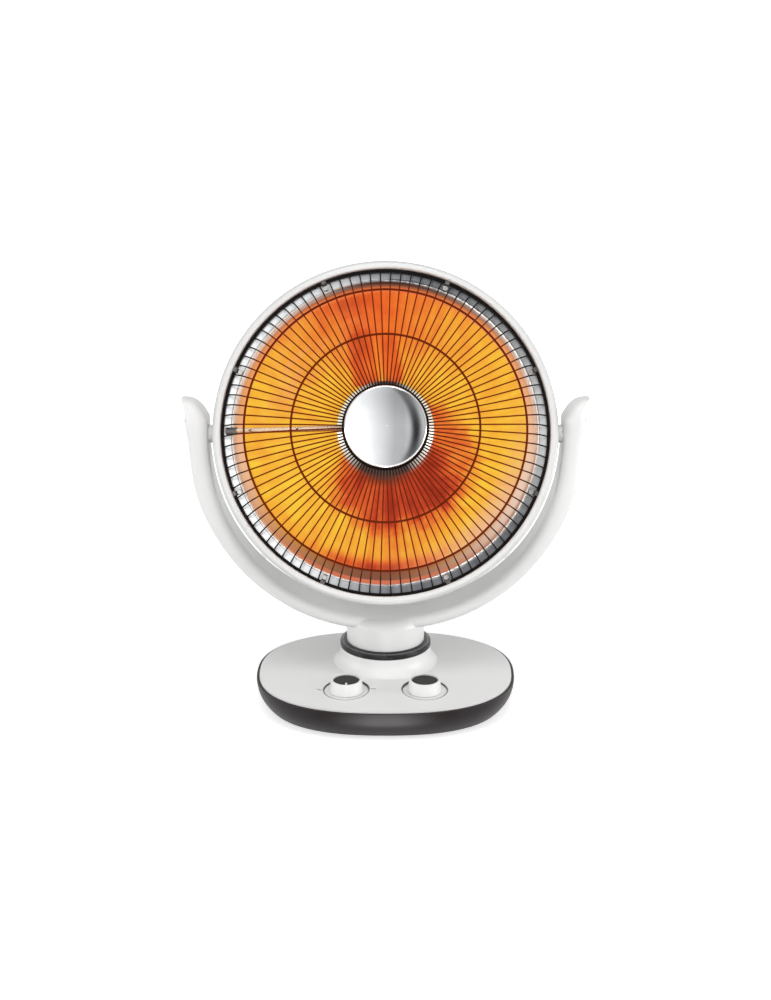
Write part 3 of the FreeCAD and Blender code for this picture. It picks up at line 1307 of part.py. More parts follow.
def stay_clamp():
    """Sleeve round the tube's outer end, with a foot on the reflector's flange."""
    rim_end = stay_line()[0]
    start, end = stay_point(rim_end[0]), stay_point(rim_end[0] - STAY_CLAMP_LENGTH)
    sleeve = rod(STAY_CLAMP_RADIUS, start, end)
    seat = DISH_FRONT - SNUG
    foot_x = -(bead_edge() + STAY_FOOT + 2 * SEAM)
    foot = rod(STAY_FOOT, V(foot_x, seat, 0), V(foot_x, start.y, 0))
    bore = rod(STAY_RADIUS + SNUG, start + (start - end), end + (end - start))
    return head_place(whole(sleeve.fuse(foot).cut(bore)))


def bead_edge():
    return DISH_RADIUS + BEAD_WIDTH


def thermal_cutout():
    """Disc thermostat on the back of the socket."""
    across = (DISH_HOLE + NUT_RADIUS) / 2
    start = SOCKET_BACK + SNUG
    can = rod(CUTOUT_RADIUS, V(0, start, across), V(0, start + CUTOUT_HEIGHT, across))
    return head_place(can.makeFillet(1.0, [edge for edge in can.Edges if edge.BoundBox.YMin > start + 1]))


def head_terminal():
    """Ceramic terminal block on the inside of the housing's back."""
    size_x, size_z, depth = HEAD_TERMINAL_SIZE
    back = HOUSING_BACK - HOUSING_WALL - SNUG
    body = Part.makeBox(size_x, depth, size_z, V(-size_x / 2, back - depth, HEAD_TERMINAL_Z - size_z / 2))
    cuts = []
    middle, z = back - depth / 2, HEAD_TERMINAL_Z
    for x in (-size_x / 4, size_x / 4):
        cuts.append(rod(WAY_RADIUS, V(x, middle, z - size_z), V(x, middle, z + size_z)))
        cuts.append(rod(WELL_RADIUS, V(x, back - depth - 1, z), V(x, middle, z)))
    return head_place(whole(body.cut(cuts)))


# Tilt pivots

PIN_INNER = RIM_RADIUS - RIM_WALL - 10.0
PIN_OUTER = BOSS_END + BUSH_LENGTH + 4.0
PIN_NUT_RADIUS = 6.8
PIN_NUT_LENGTH = 6.0
KEEPER_LENGTH = 2.0


def pivot_pins():
    pin = rod(PIN_RADIUS, V(PIN_INNER, 0, 0), V(PIN_OUTER, 0, 0))
    return [head_place(around(pin, degrees)) for degrees in (0, 180)]


def pivot_nuts():
    """Lock nut inside the rim and keeper ring at the end of the bush, on each pin."""
    rings = []
    for side in (-1, 1):
        inner_near = RIM_RADIUS - RIM_WALL - SEAM - PIN_NUT_LENGTH
        for near, thick, radius in ((inner_near, PIN_NUT_LENGTH, PIN_NUT_RADIUS),
                                    (BOSS_END + BUSH_LENGTH + SEAM, KEEPER_LENGTH, BUSH_RADIUS)):
            start, end = V(side * near, 0, 0), V(side * (near + thick), 0, 0)
            rings.append(head_place(rod(radius, start, end).cut(rod(PIN_RADIUS + SNUG, start, end))))
    return rings


# Knobs, modelled about the dial's centre and then carried to it

KNOB_FOOT = SEAM
KNOB_TOP = KNOB_FOOT + KNOB_HEIGHT
KNOB_FLOOR = KNOB_TOP - KNOB_RECESS - KNOB_INSERT
SHAFT_TOP = KNOB_FLOOR - KNOB_WALL
INSERT_RADIUS = KNOB_TOP_RADIUS - KNOB_RIM


def knob():
    """Tapered knob, hollow underneath, with a recess for the dark insert."""
    boss = SHAFT_RADIUS + KNOB_WALL
    hollow = KNOB_RADIUS - KNOB_WALL
    taper = (KNOB_RADIUS - KNOB_TOP_RADIUS) / KNOB_HEIGHT
    ceiling = KNOB_FLOOR - KNOB_WALL
    profile = [
        (SHAFT_RADIUS + SNUG, KNOB_FOOT), (boss, KNOB_FOOT), (boss, ceiling),
        (hollow - taper * ceiling, ceiling),
        (hollow, KNOB_FOOT), (KNOB_RADIUS, KNOB_FOOT), (KNOB_TOP_RADIUS, KNOB_TOP), (INSERT_RADIUS, KNOB_TOP),
        (INSERT_RADIUS, KNOB_FLOOR), (0, KNOB_FLOOR), (0, SHAFT_TOP), (SHAFT_RADIUS + SNUG, SHAFT_TOP),
    ]
    return turned(profile, [0, 0, 0, 0, 0, 0.8, 0.7, 0.5, 0, 0, 0, 0])


def knob_insert():
    radius = INSERT_RADIUS - SNUG
    low = KNOB_FLOOR + SNUG
    high = low + KNOB_INSERT
    return turned([(0, low), (radius, low), (radius, high), (0, high)], [0, 0, 0.4, 0])


SHAFT_DEPTH = 6.0


def control_shaft():
    return rod(SHAFT_RADIUS, V(0, 0, -DIAL_PAD - SHAFT_DEPTH), V(0, 0, SHAFT_TOP - SNUG))


def control_body(side, height):
    """Switch or timer under a dial, screwed to the pad, with a bushing for its shaft."""
    top = -DIAL_PAD - SNUG
    body = block((side, side, height), 0, 0, top - height)
    upright = [edge for edge in body.Edges if abs(edge.tangentAt(edge.FirstParameter).z) > 0.9]
    body = body.makeFillet(3.0, upright)
    pocket = rod(SHAFT_RADIUS + RUNNING, V(0, 0, -DIAL_PAD - SHAFT_DEPTH - SEAM), V(0, 0, 1))
    tabs = [block((4, 0.8, 7), side * share, -side / 4, top - height - 4) for share in (-0.3, 0, 0.3)]
    return whole(body.fuse(tabs).cut(pocket))


def control_nodes(dial_z):
    nodes = {}
    for name, side, case, size, height in (("heat", -1, "heat_switch", SWITCH_SIDE, SWITCH_HEIGHT),
                                           ("timer", 1, "timer_unit", TIMER_SIDE, TIMER_HEIGHT)):
        nodes[case] = on_dial(control_body(size, height), side, dial_z)
        nodes[name + "_shaft"] = on_dial(control_shaft(), side, dial_z)
        nodes[name + "_knob"] = on_dial(knob(), side, dial_z)
        nodes[name + "_knob_insert"] = on_dial(knob_insert(), side, dial_z)
    return nodes


def build():
    form = cover_form()
    dial_z = dial_height(form)
    shell = yoke_shell()
    nodes = {
        "base_tray": base_tray(),
        "base_cover": base_cover(form, dial_z),
        "pivot_collar": pivot_collar(),
        "rubber_feet": rubber_feet(),
        "base_screws": base_screws(),
        "ballast_plate": ballast_plate(),
        "terminal_block": terminal_block(),
        "cord_gland": cord_gland(),
        "tip_plunger": tip_plunger(),
        "plunger_guide": plunger_guide(),
        "plunger_spring": plunger_spring(),
        "tip_switch": tip_switch(),
        "swing_motor": swing_motor(),
        "motor_shaft": motor_shaft(),
        "drive_pinion": drive_pinion(),
        "sector_gear": sector_gear(),
        "swivel_hub": swivel_hub(),
        "swivel_washer": swivel_washer(),
        "hub_retainer": hub_retainer(),
        "yoke_front": yoke_half(shell, True),
        "yoke_rear": yoke_half(shell, False),
        "left_horn": arm_horn(-1),
        "right_horn": arm_horn(1),
        "pivot_bushes": pivot_bushes(),
        "yoke_screws": yoke_screws(),
        "neck_screws": neck_screws(),
        "front_bezel": front_bezel(),
        "rear_housing": rear_housing(),
        "housing_screws": housing_screws(),
        "reflector_dish": reflector_dish(),
        "guard_wires": guard_wires(),
        "guard_rings": guard_rings(),
        "guard_hub_plate": guard_hub_plate(),
        "guard_clips": guard_clips(),
        "clip_screws": clip_screws(),
        "element_cap": element_cap(),
        "element_cup": element_cup(),
        "element_core": element_core(),
        "heating_coil": heating_coil(),
        "element_socket": element_socket(),
        "element_rod": element_rod(),
        "rod_nut": rod_nut(),
        "support_stay": support_stay(),
        "stay_clamp": stay_clamp(),
        "thermal_cutout": thermal_cutout(),
        "head_terminal": head_terminal(),
        "pivot_pins": pivot_pins(),
        "pivot_nuts": pivot_nuts(),
    }
    nodes.update(control_nodes(dial_z))
    print("dial floor at %.3f mm" % dial_z)
    return nodes


os.makedirs("parts", exist_ok=True)
for node, shape in build().items():
    solid = Part.makeCompound(shape) if isinstance(shape, list) else shape
    solid.exportStep("parts/%s.step" % node)
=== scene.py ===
import json
import math

import bmesh
import bpy
from mathutils import Matrix, Vector


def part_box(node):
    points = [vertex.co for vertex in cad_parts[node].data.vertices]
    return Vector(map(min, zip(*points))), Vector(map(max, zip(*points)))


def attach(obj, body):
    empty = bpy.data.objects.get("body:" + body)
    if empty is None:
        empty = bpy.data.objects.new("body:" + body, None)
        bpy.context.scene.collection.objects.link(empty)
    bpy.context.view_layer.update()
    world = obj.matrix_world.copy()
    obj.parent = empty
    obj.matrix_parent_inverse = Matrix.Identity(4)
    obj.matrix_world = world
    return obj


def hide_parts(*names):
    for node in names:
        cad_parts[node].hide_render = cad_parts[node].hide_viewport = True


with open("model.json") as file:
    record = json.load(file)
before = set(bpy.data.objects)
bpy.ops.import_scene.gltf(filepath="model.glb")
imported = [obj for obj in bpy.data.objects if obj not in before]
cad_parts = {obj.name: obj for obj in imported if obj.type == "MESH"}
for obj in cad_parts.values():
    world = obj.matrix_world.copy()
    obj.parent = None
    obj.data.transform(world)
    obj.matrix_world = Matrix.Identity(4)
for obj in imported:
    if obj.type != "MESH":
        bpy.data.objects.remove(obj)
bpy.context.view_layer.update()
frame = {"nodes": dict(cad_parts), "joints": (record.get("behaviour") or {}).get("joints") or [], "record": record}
nodes = frame["nodes"]
joints = {joint["name"]: joint for joint in frame["joints"]}

MM = 0.001

# Camera of the photograph
CAMERA_PITCH = math.radians(17.1)
CAMERA_DISTANCE = 1.6
CAMERA_AIM = Vector((0, 0, 0.222))
CAMERA_LENS = 56.3
CAMERA_SENSOR = 36.0

# Studio
FLOOR_SIZE = 60.0
FLOOR_FADE = (0.25, 1.1)        # distances between which the floor's own light grows to full white
FLOOR_NEAR = (206, 206, 206)
FLOOR_TONE = (232, 232, 232)
AMBIENT_FRONT = 0.98
AMBIENT_BACK = 0.12
LAMPS = (                       # name, place, aim, size and power
    ("front_lamp", (0, -2.2, 0.5), (0, 0, 0.1), (0.9, 0.5), 3.5),
    ("high_lamp", (0, -1.1, 2.2), (0, 0, 0.1), (1.2, 0.6), 13),
    ("left_lamp", (-1.9, -0.5, 0.35), (0, 0, 0.15), (0.8, 0.5), 7),
    ("right_lamp", (1.9, -0.5, 0.35), (0, 0, 0.15), (0.8, 0.5), 12.5),
)

# Cards that the shiny faces mirror
CARD_RISE = math.radians(28)
CARD_DISTANCE = 1.3
CARD_SIZE = (1.7, 1.3)
CARD_MIDDLE = -0.05             # height on the card that the middle of the cap mirrors
CARD_SHADES = (                 # place across the card, and brightness
    (0.3, 1.9), (0.37, 1.6), (0.435, 1.24), (0.5, 0.98), (0.565, 0.7), (0.63, 0.68), (0.69, 0.88),
)
CARD_TOP_FADE = (0, 0.45)       # heights between which the card grows dimmer
CARD_TOP_SHADE = 0.25
CRESCENT_FOCUS = 0.4            # centre of the dark crescent's arc, across the card
CRESCENT_INNER = (0.68, 0.76)
CRESCENT_OUTER = (0.8, 0.9)
CRESCENT_HEIGHT = 0.4
CRESCENT_TIPS = 0.66            # strength at its tips, against 1 in its middle
CRESCENT_SHADE = 0.97
GLARE_PLACE = (0, -0.165, 0.001)
GLARE_SIZE = (0.2, 0.1)
GLARE_WIDTH = 0.05
GLARE = 8.0

# The head, about its tilt axis, with its face towards -Y before it is tilted
HEAD_TILT = math.radians(21.5)
PIVOT = Vector(joints["head_tilt"]["pos_m"])
HEAD = Matrix.Translation(PIVOT) @ Matrix.Rotation(-HEAD_TILT, 4, "X")
FACE = HEAD.to_3x3() @ Vector((0, -1, 0))
BEZEL_EDGE = (170.6, 172.8)     # radii between which the bezel's face turns to its side and shade is painted on it, in millimetres
BEZEL_SHADE = 0.22

# Wire guard, in radius and depth from the tilt axis, in millimetres
WIRE_COUNT = 96
WIRE_RADIUS = 0.75 * MM
WIRE_CORNERS = ((163.66, -18.9), (152.5, -36.0), (94.0, -51.0), (42.6, -56.5))
WIRE_BENDS = (7.0, 14.0)        # length of each bend to both sides of its corner
WIRE_BEND_CUT = 0.25            # how far a bend stays inside its corner
WIRE_GLOW_FROM = (46, 52)       # radii between which the glow behind the wires, painted on them, begins and ends
WIRE_GLOW_TO = (144, 150)

# Element, in radius and depth from the tilt axis, in millimetres, and the plunger's spring
COIL_TURNS = 12
COIL_WIRE = 2.6 * MM
COIL_BACK = (20.2, 26.8)
COIL_FRONT = (16.0, -40.3)
COIL_HEAT = (-6, 40)            # depth of the hottest turns, and how far the heat spreads
SPRING_TURNS = 4
SPRING_WIRE = 0.8 * MM
WINDING_KNOTS = 8               # per turn

# Dials
DIAL_RADIUS = 23.2 * MM
DIAL_LINE_INNER = (0.985, 0.995)    # edges of the line of painted shade at the recess round a dial, against its radius
DIAL_LINE_OUTER = (1.028, 1.04)
TICK_LENGTH = 5.6 * MM
TICK_WIDTH = 1.1 * MM
TICK_OFFSET = 0.8               # from the dial to the tick's middle, in tick lengths
POINTER_LENGTH = 8.0 * MM
POINTER_WIDTH = 2.0 * MM
POINTER_OFFSET = 0.56           # from the insert's edge to the pointer's middle, in pointer lengths
PRINT_HEIGHT = 0.24 * MM
PRINT_LIFT = 0.2                # middle of the print over the face, in print heights

# Screws
SCREW_ROUNDING = 0.4            # of the head's height
RECESS_LENGTH = 1.15            # of the head's radius
RECESS_WIDTH = 0.28

# Dish, in millimetres: its front is a parabola, with depth from the tilt axis
DISH_RADIUS = 153.5
DISH_DEPTH = 56.0
DISH_RIM = -12.7
DISH_SHEET = 0.8
DISH_BACK = (0.4, 0.7)          # share of the sheet's thickness from which a place is on its back
DISH_EDGE = 152.0               # radius where the glow ends
DISH_FADE = (-1.5, 1.2)         # over which it ends
DISH_FOOT_DROP = 2.5            # how much further out it ends at the foot
HUB_EDGE = 45.0
BEAD = (154.4, 1.6)             # radius and width of the painted highlight on the bead
CUP_EDGE = (47.8, 48.8)
CUP_REACH = 10                  # from the cup's edge out to the place on the dish whose glow it takes

# The dish's glow, painted as emission: the hot element's light as the dish mirrors it. Angles are in degrees from
# 3 o'clock, towards 12 o'clock
GLOW_COLOURS = ((146, 42, 28), (186, 62, 38), (224, 98, 46), (241, 143, 54), (250, 180, 58), (255, 210, 64))
RED_TONGUES = (                 # angles at the hub and the tip, half width, radius of the tip, depth of red
    (284, 282, 66, 104, 0.6), (292, 286, 34, 92, 0.12), (367, 322, 48, 105, 0.4), (222, 238, 22, 92, 0.26),
    (79, 90, 11.5, 106, 0.4), (111, 104, 14, 110, 0.42),
)
TONGUE_TAPER = 0.55             # how much narrower a tongue is at its tip
TONGUE_SIDE = (0.5, 1.35)       # where its red fades, against its half width and against its length
TONGUE_TIP = (0.66, 1.16)
TONGUE_DRIFT = 20               # unevenness of the tongues' length, in millimetres
RED_PATCHES = (                 # angle, sharpness, radius, width, depth of red
    (105, 90.0, 140, 9, 0.3), (278, 8.0, 112, 14, 0.26), (267, 7.0, 137.5, 8.5, 0.64),
)
RED_TOP_DEPTH = 0.46            # red of the upper part, and its share near the hub
RED_TOP_INNER = 0.28
GLOW_WARMTH = 0.88
GLOW_STRENGTH = 0.92
COIL_STRENGTH = 2.0
RAYS = {                        # angle and sharpness
    "red_top": (97, 4.2), "peach": (322, 9.0), "blush": (142, 5.0), "ember": (92, 14.0),
    "pale_rim": (330, 4.0), "left_rim": (194, 16.0), "top_rim": (92, 2.4), "top_brown_band": (90, 2.6),
    "top": (88, 7.0), "foot": (265, 3.5), "foot_bead": (265, 9.0), "hub_shadow": (268, 5.0),
    "dark_reflection_top": (74, 5.0), "dark_reflection_right": (32, 12.0),
    "cup_top": (89, 6.0), "cup_foot": (268, 3.4), "cup_edge": (266, 5.0),
}
LOBES = {"dark_reflection_foot": (298, 62), "bright_right": (0, 75)}     # angle and reach to both sides
LOBE_FULL = 0.94                # cosine of the angle up to which a lobe is full
BANDS = {                       # radii between which a band of the dish grows from none to full
    "red_top": (80, 112), "peach": (116, 144), "ember": (52, 74), "hub_shadow": (43, 55), "rim": (143.5, 146),
    "foot_brown_band": (139.5, 142), "foot_line": (149.5, 151), "back": (149, 151), "flange": (153, 157),
}
RINGS = {"blush": (116, 18), "top_brown_band": (151.4, 2.2)}       # radius and width
DISH_NOISES = {                 # scale round the dish, scale along its rays, detail and seed
    "rays": (30.0, 0.004, 3.0, 0.0), "patches": (6.0, 0.05, 4.0, 7.0), "streaks": (3.0, 0.12, 3.0, 2.0),
    "sheet": (20.0, 0.012, 2.0, 3.0), "cup": (40.0, 0.03, 2.0, 0.0),
}

# Plastics: colour, shade, roughness, depth of the grain in millimetres, coat and specular level
PLASTICS = {
    "white_shell": ((232, 232, 231), (224, 224, 223), 0.38, 0.03, 0.2, 0.5),
    "cover_shell": ((234, 234, 233), (226, 226, 225), 0.38, 0.03, 0.2, 0.5),
    # bezel_shell is white_shell's white a shade darker: painted shade on the bezel
    "bezel_shell": ((229, 229, 228), (223, 223, 222), 0.4, 0.03, 0.15, 0.5),
    "charcoal_shell": ((34, 28, 29), (27, 22, 23), 0.42, 0.08, 0.0, 0.22),
    "insert_plastic": ((40, 38, 38), (30, 28, 28), 0.5, 0.1, 0.0, 0.35),
    "pointer_ink": ((236, 236, 234), (222, 222, 220), 0.5, 0.02, 0.0, 0.5),
    "gear_plastic": ((226, 222, 208), (214, 209, 193), 0.45, 0.04, 0.0, 0.5),
    "black_rubber": ((44, 43, 43), (34, 33, 33), 0.75, 0.15, 0.0, 0.5),
    "print_ink": ((138, 138, 139), (122, 122, 123), 0.55, 0.02, 0.0, 0.5),
}
# Grey of the painted shade round the dials' recesses and on the bezel's outer edge
PAINTED_SHADE_GREY = (96, 96, 97)
SHOULDER_FROM = (0.74, 0.78)    # painted highlight on the collar's shoulder, against its height
SHOULDER_TO = (0.83, 0.86)

# Metals: colour, shade, roughness, scale and depth of the working marks, the depth in millimetres
METALS = {
    "zinc_plate": ((208, 208, 204), (180, 180, 178), 0.3, 700.0, 0.03),
    "cast_iron": ((88, 86, 84), (66, 64, 63), 0.7, 500.0, 0.2),
    "clamp_steel": ((122, 120, 118), (84, 82, 80), 0.34, 500.0, 0.03),
}
STAY_REFLECTION_HEIGHTS = (-2.0, 1.4)        # heights between which the stay's painted reflection grows paler, in millimetres

# Scales of the noises in the finishes, against metres
DRIFT_SCALE = 14.0
GRAIN_SCALE = 1500.0
HANDLING_SCALE = 60.0
COLLAR_NOISE_SCALE = 80.0
METAL_PATCH_SCALE = 45.0
STAY_PATCH_SCALE = 160.0
POOLING_SCALE = 220.0
SPECK_SCALE = 1800.0
CERAMIC_SCALE = 90.0
PORE_SCALE = 1400.0
HAZE_SCALE = 60.0
OXIDE_SCALE = 400.0


class Socket:
    """One output of a shader node: arithmetic on it adds Math nodes to its finish."""

    def __init__(self, finish, output):
        self.finish = finish
        self.output = output

    def math(self, operation, *values):
        return self.finish.node("ShaderNodeMath", {"operation": operation}, dict(enumerate(values)))

    def __add__(self, other):
        return self.math("ADD", self, other)

    def __sub__(self, other):
        return self.math("SUBTRACT", self, other)

    def __rsub__(self, other):
        return self.math("SUBTRACT", other, self)

    def __mul__(self, other):
        return self.math("MULTIPLY", self, other)

    def __truediv__(self, other):
        return self.math("DIVIDE", self, other)

    __radd__ = __add__
    __rmul__ = __mul__

    def call(self, operation, *values):
        return self.math(operation, self, *values)

    def between(self, low, high):
        """0 below low, 1 above high and a smooth step from one to the other."""
        ends = {"Value": self, "From Min": low, "From Max": high}
        return self.finish.node("ShaderNodeMapRange", {"interpolation_type": "SMOOTHSTEP"}, ends)

    def hill(self, centre, width):
        """1 at the centre, falling away on both sides."""
        offset = (self - centre) / width
        return (0 - offset * offset).call("EXPONENT")


class Finish:
    """A material, or the studio's world, that is being put together."""

    def __init__(self, name, owner=None):
        self.owner = owner or bpy.data.materials.new(name)
        self.owner.use_nodes = True
        self.tree = self.owner.node_tree
        self.shader = self.tree.nodes.get("Principled BSDF") or self.tree.nodes["Background"]

    def node(self, kind, settings=None, sockets=None, output=0):
        """Any shader node: its settings first, then the values or links of its sockets."""
        made = self.tree.nodes.new(kind)
        for name, value in (settings or {}).items():
            if name == "stops":
                self.set_stops(made.color_ramp, value)
            else:
                setattr(made, name, value)
        for name, value in (sockets or {}).items():
            self.feed(made.inputs[name], value)
        return Socket(self, made.outputs[output])

    def set_stops(self, ramp, stops):
        while len(ramp.elements) < len(stops):
            ramp.elements.new(1.0)
        for element, (place, colour) in zip(ramp.elements, stops):
            element.position = place
            element.color = (*colour, 1.0)

    def feed(self, socket, value):
        if isinstance(value, Socket):
            self.tree.links.new(value.output, socket)
        else:
            socket.default_value = value

    def surface(self, **sockets):
        """Values or links of the main shader, by socket name with underscores for spaces."""
        for name, value in sockets.items():
            self.feed(self.shader.inputs[name.replace("_", " ")], value)
        return self.owner

    def place(self):
        return self.node("ShaderNodeTexCoord", output="Object")

    def noise(self, place, scale, detail=3.0, roughness=0.5):
        sockets = {"Vector": place, "Scale": scale, "Detail": detail, "Roughness": roughness}
        return self.node("ShaderNodeTexNoise", None, sockets)

    def blend(self, factor, first, second):
        """Mix of two colours."""
        return self.node("ShaderNodeMix", {"data_type": "RGBA"}, {0: factor, 6: first, 7: second}, 2)

    def split(self, place):
        """The three coordinates of a place."""
        return [self.node("ShaderNodeSeparateXYZ", None, {"Vector": place}, i) for i in range(3)]

    def seen(self):
        """1 where the surface is looked at, also in a mirror or through glass, 0 where it lights others."""
        kinds = ("Camera", "Glossy", "Transmission")
        looks = [self.node("ShaderNodeLightPath", output=f"Is {kind} Ray") for kind in kinds]
        return looks[0].call("MAXIMUM", looks[1]).call("MAXIMUM", looks[2])

    def bump(self, height, distance, strength):
        sockets = {"Height": height, "Distance": distance, "Strength": strength}
        return self.node("ShaderNodeBump", None, sockets)


def rgb(red, green, blue):
    """A colour as seen on screen, 0 to 255, as the shader's linear values."""
    linear = []
    for value in (red, green, blue):
        share = value / 255
        linear.append(share / 12.92 if share <= 0.04045 else ((share + 0.055) / 1.055) ** 2.4)
    return (*linear, 1.0)


# Finishes

def moulded_plastic(name, lines=None):
    """Injection-moulded plastic: a faint drift of tone, a fine grain and a sheen that varies a little."""
    colour, shade, roughness, grain, coat, specular = PLASTICS[name]
    finish = Finish(name)
    place = finish.place()
    drift = finish.noise(place, DRIFT_SCALE, 2.0)
    grains = finish.noise(place, GRAIN_SCALE, 2.0, 0.6)
    handling = finish.noise(place, HANDLING_SCALE, 4.0, 0.65)
    tone = finish.blend((drift - 0.3) * 0.9, rgb(*colour), rgb(*shade))
    # lines gives where shade is painted on the plastic, as a grey line
    if lines:
        tone = finish.blend(lines(finish), tone, rgb(*PAINTED_SHADE_GREY))
    return finish.surface(
        Base_Color=tone, Roughness=roughness + (handling - 0.5) * 0.16,
        Normal=finish.bump(grains, grain * MM, 0.35), Coat_Weight=coat, Coat_Roughness=0.18,
        Specular_IOR_Level=specular)


def dial_recess_painted_shade(finish):
    """1 on a fine line of painted shade at the recess round each dial."""
    across, along = finish.split(finish.place())[:2]
    rings = []
    for name in ("heat_knob_turn", "timer_knob_turn"):
        x, y = joints[name]["pos_m"][:2]
        aside, ahead = across - x, along - y
        distance = (aside * aside + ahead * ahead).call("SQRT") / DIAL_RADIUS
        rings.append(distance.between(*DIAL_LINE_INNER) * (1 - distance.between(*DIAL_LINE_OUTER)))
    return rings[0] + rings[1]


def painted_bezel_edge_shade(finish):
    """Share of painted shade on the bezel's outer edge, where it turns from the light; it draws its outline."""
    radius = head_polar(finish)[0]
    return radius.between(*BEZEL_EDGE) * BEZEL_SHADE


def collar_plastic():
    """Dark ring with a painted highlight on its shoulder, uneven along the ring."""
    finish = Finish("collar_plastic")
    place = finish.place()
    highlight_and_roughness_noise = finish.noise(place, COLLAR_NOISE_SCALE, 3.0)
    low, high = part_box("pivot_collar")
    height = (finish.split(place)[2] - low.z) / (high.z - low.z)
    # Painted highlight along the shoulder, made uneven by the same noise that varies the roughness.
    shoulder = height.between(*SHOULDER_FROM) * (1 - height.between(*SHOULDER_TO))
    tone = finish.blend(shoulder * (0.7 + highlight_and_roughness_noise * 0.4), rgb(32, 29, 30), rgb(104, 104, 106))
    return finish.surface(Base_Color=tone, Roughness=0.3 + (highlight_and_roughness_noise - 0.5) * 0.2, Specular_IOR_Level=0.35)


def worked_metal(name):
    """Bare or plated metal with fine working marks and patches of duller surface."""
    colour, shade, roughness, mark_scale, bite = METALS[name]
    finish = Finish(name)
    place = finish.place()
    marks = finish.noise(place, mark_scale, 4.0, 0.7)
    patches = finish.noise(place, METAL_PATCH_SCALE, 3.0)
    tone = finish.blend(patches, rgb(*colour), rgb(*shade))
    return finish.surface(
        Base_Color=tone, Metallic=1.0, Roughness=roughness + (marks - 0.5) * 0.2 + (patches - 0.5) * 0.1,
        Normal=finish.bump(marks, bite * MM, 0.3))


def bright_stay():
    """Polished tube that mirrors the glow, with a painted reflection of it: warm below, paler along its upper
    side.
    """
    finish = Finish("bright_stay")
    up = finish.split(head_place(finish))[2]
    patches = finish.noise(finish.place(), STAY_PATCH_SCALE, 3.0)
    # Painted reflection: warm brown low on the tube, turning pale along its upper side.
    upper = (up / MM + patches - 0.5).between(*STAY_REFLECTION_HEIGHTS)
    tone = finish.blend(upper, rgb(176, 132, 92), rgb(255, 234, 206))
    return finish.surface(Base_Color=tone, Metallic=1.0, Roughness=0.16 + (patches - 0.5) * 0.1)


def black_enamel():
    """Dipped black enamel on wire, with the glow over the dish painted on it as a warm colour and a warm emission.
    """
    finish = Finish("black_enamel")
    pooling = finish.noise(finish.place(), POOLING_SCALE, 3.0)
    speck = finish.noise(finish.place(), SPECK_SCALE, 2.0)
    radius = head_polar(finish)[0]
    # Painted light: over the dish the wires take a warm colour and a warm emission from the glow behind them.
    warm = radius.between(*WIRE_GLOW_FROM) * (1 - radius.between(*WIRE_GLOW_TO))
    tone = finish.blend(pooling, rgb(18, 17, 17), rgb(32, 30, 30))
    tone = finish.blend(warm, tone, rgb(80, 24, 2))
    lit = finish.blend(warm, rgb(0, 0, 0), rgb(104, 28, 0))
    return finish.surface(
        Base_Color=tone, Roughness=0.5 + (pooling - 0.5) * 0.24, Normal=finish.bump(speck, 0.02 * MM, 0.4),
        Specular_IOR_Level=0.05, Emission_Color=lit, Emission_Strength=0.5)


def ceramic_white():
    finish = Finish("ceramic_white")
    place = finish.place()
    body = finish.noise(place, CERAMIC_SCALE, 5.0, 0.6)
    pores = finish.noise(place, PORE_SCALE, 2.0)
    tone = finish.blend(body, rgb(232, 222, 205), rgb(206, 192, 170))
    return finish.surface(
        Base_Color=tone, Roughness=0.62 + (body - 0.5) * 0.2, Normal=finish.bump(pores, 0.12 * MM, 0.5))


def head_place(finish):
    """Object coordinates turned into the head's own: across, towards the back, and up its face."""
    return finish.node(
        "ShaderNodeMapping", {"vector_type": "TEXTURE"},
        {"Vector": finish.place(), "Location": PIVOT, "Rotation": (-HEAD_TILT, 0, 0)})


def head_polar(finish):
    """On the head's face: radius in millimetres, angle in radians from 3 o'clock, depth in millimetres."""
    across, depth, up = finish.split(head_place(finish))
    radius = (across * across + up * up).call("SQRT") / MM
    return radius, up.call("ARCTAN2", across), depth / MM


def ray(angle, degrees, sharpness):
    """1 along a ray at an angle, falling away to both sides."""
    away = (angle - math.radians(degrees)).call("COSINE")
    return ((away - 1) * sharpness).call("EXPONENT")


def lobe(angle, degrees, reach):
    """1 round an angle and 0 from the reach on, in degrees to both sides."""
    return (angle - math.radians(degrees)).call("COSINE").between(math.cos(math.radians(reach)), LOBE_FULL)


def polar_noise(finish, angle, radius, name):
    """Noise stretched along the rays of the dish, without a seam."""
    around, along, detail, seed = DISH_NOISES[name]
    ring = finish.node("ShaderNodeCombineXYZ", None, {
        "X": angle.call("COSINE") * around, "Y": angle.call("SINE") * around, "Z": radius * along + seed})
    return finish.noise(ring, 1.0, detail, 0.55)


def glow_colour(finish, warmth):
    """Colour of the glow, from deep red at 0 to yellow at 1."""
    last = len(GLOW_COLOURS) - 1
    stops = [(i / last, rgb(*colour)[:3]) for i, colour in enumerate(GLOW_COLOURS)]
    return finish.node("ShaderNodeValToRGB", {"stops": stops}, {"Fac": warmth})


def tongue(angle, radius, foot, tip, half_width, end):
    """1 on a red tongue that runs out from the hub, from one angle at its foot to another at its tip."""
    share = (radius - HUB_EDGE) / (end - HUB_EDGE)
    middle = foot + share * (tip - foot)
    away = (angle - middle * math.radians(1)).call("COSINE").call("ARCCOSINE") * math.degrees(1)
    inside = 1 - (away / (half_width * (1 - share * TONGUE_TAPER))).between(*TONGUE_SIDE)
    return inside * (1 - share.between(*TONGUE_TIP))


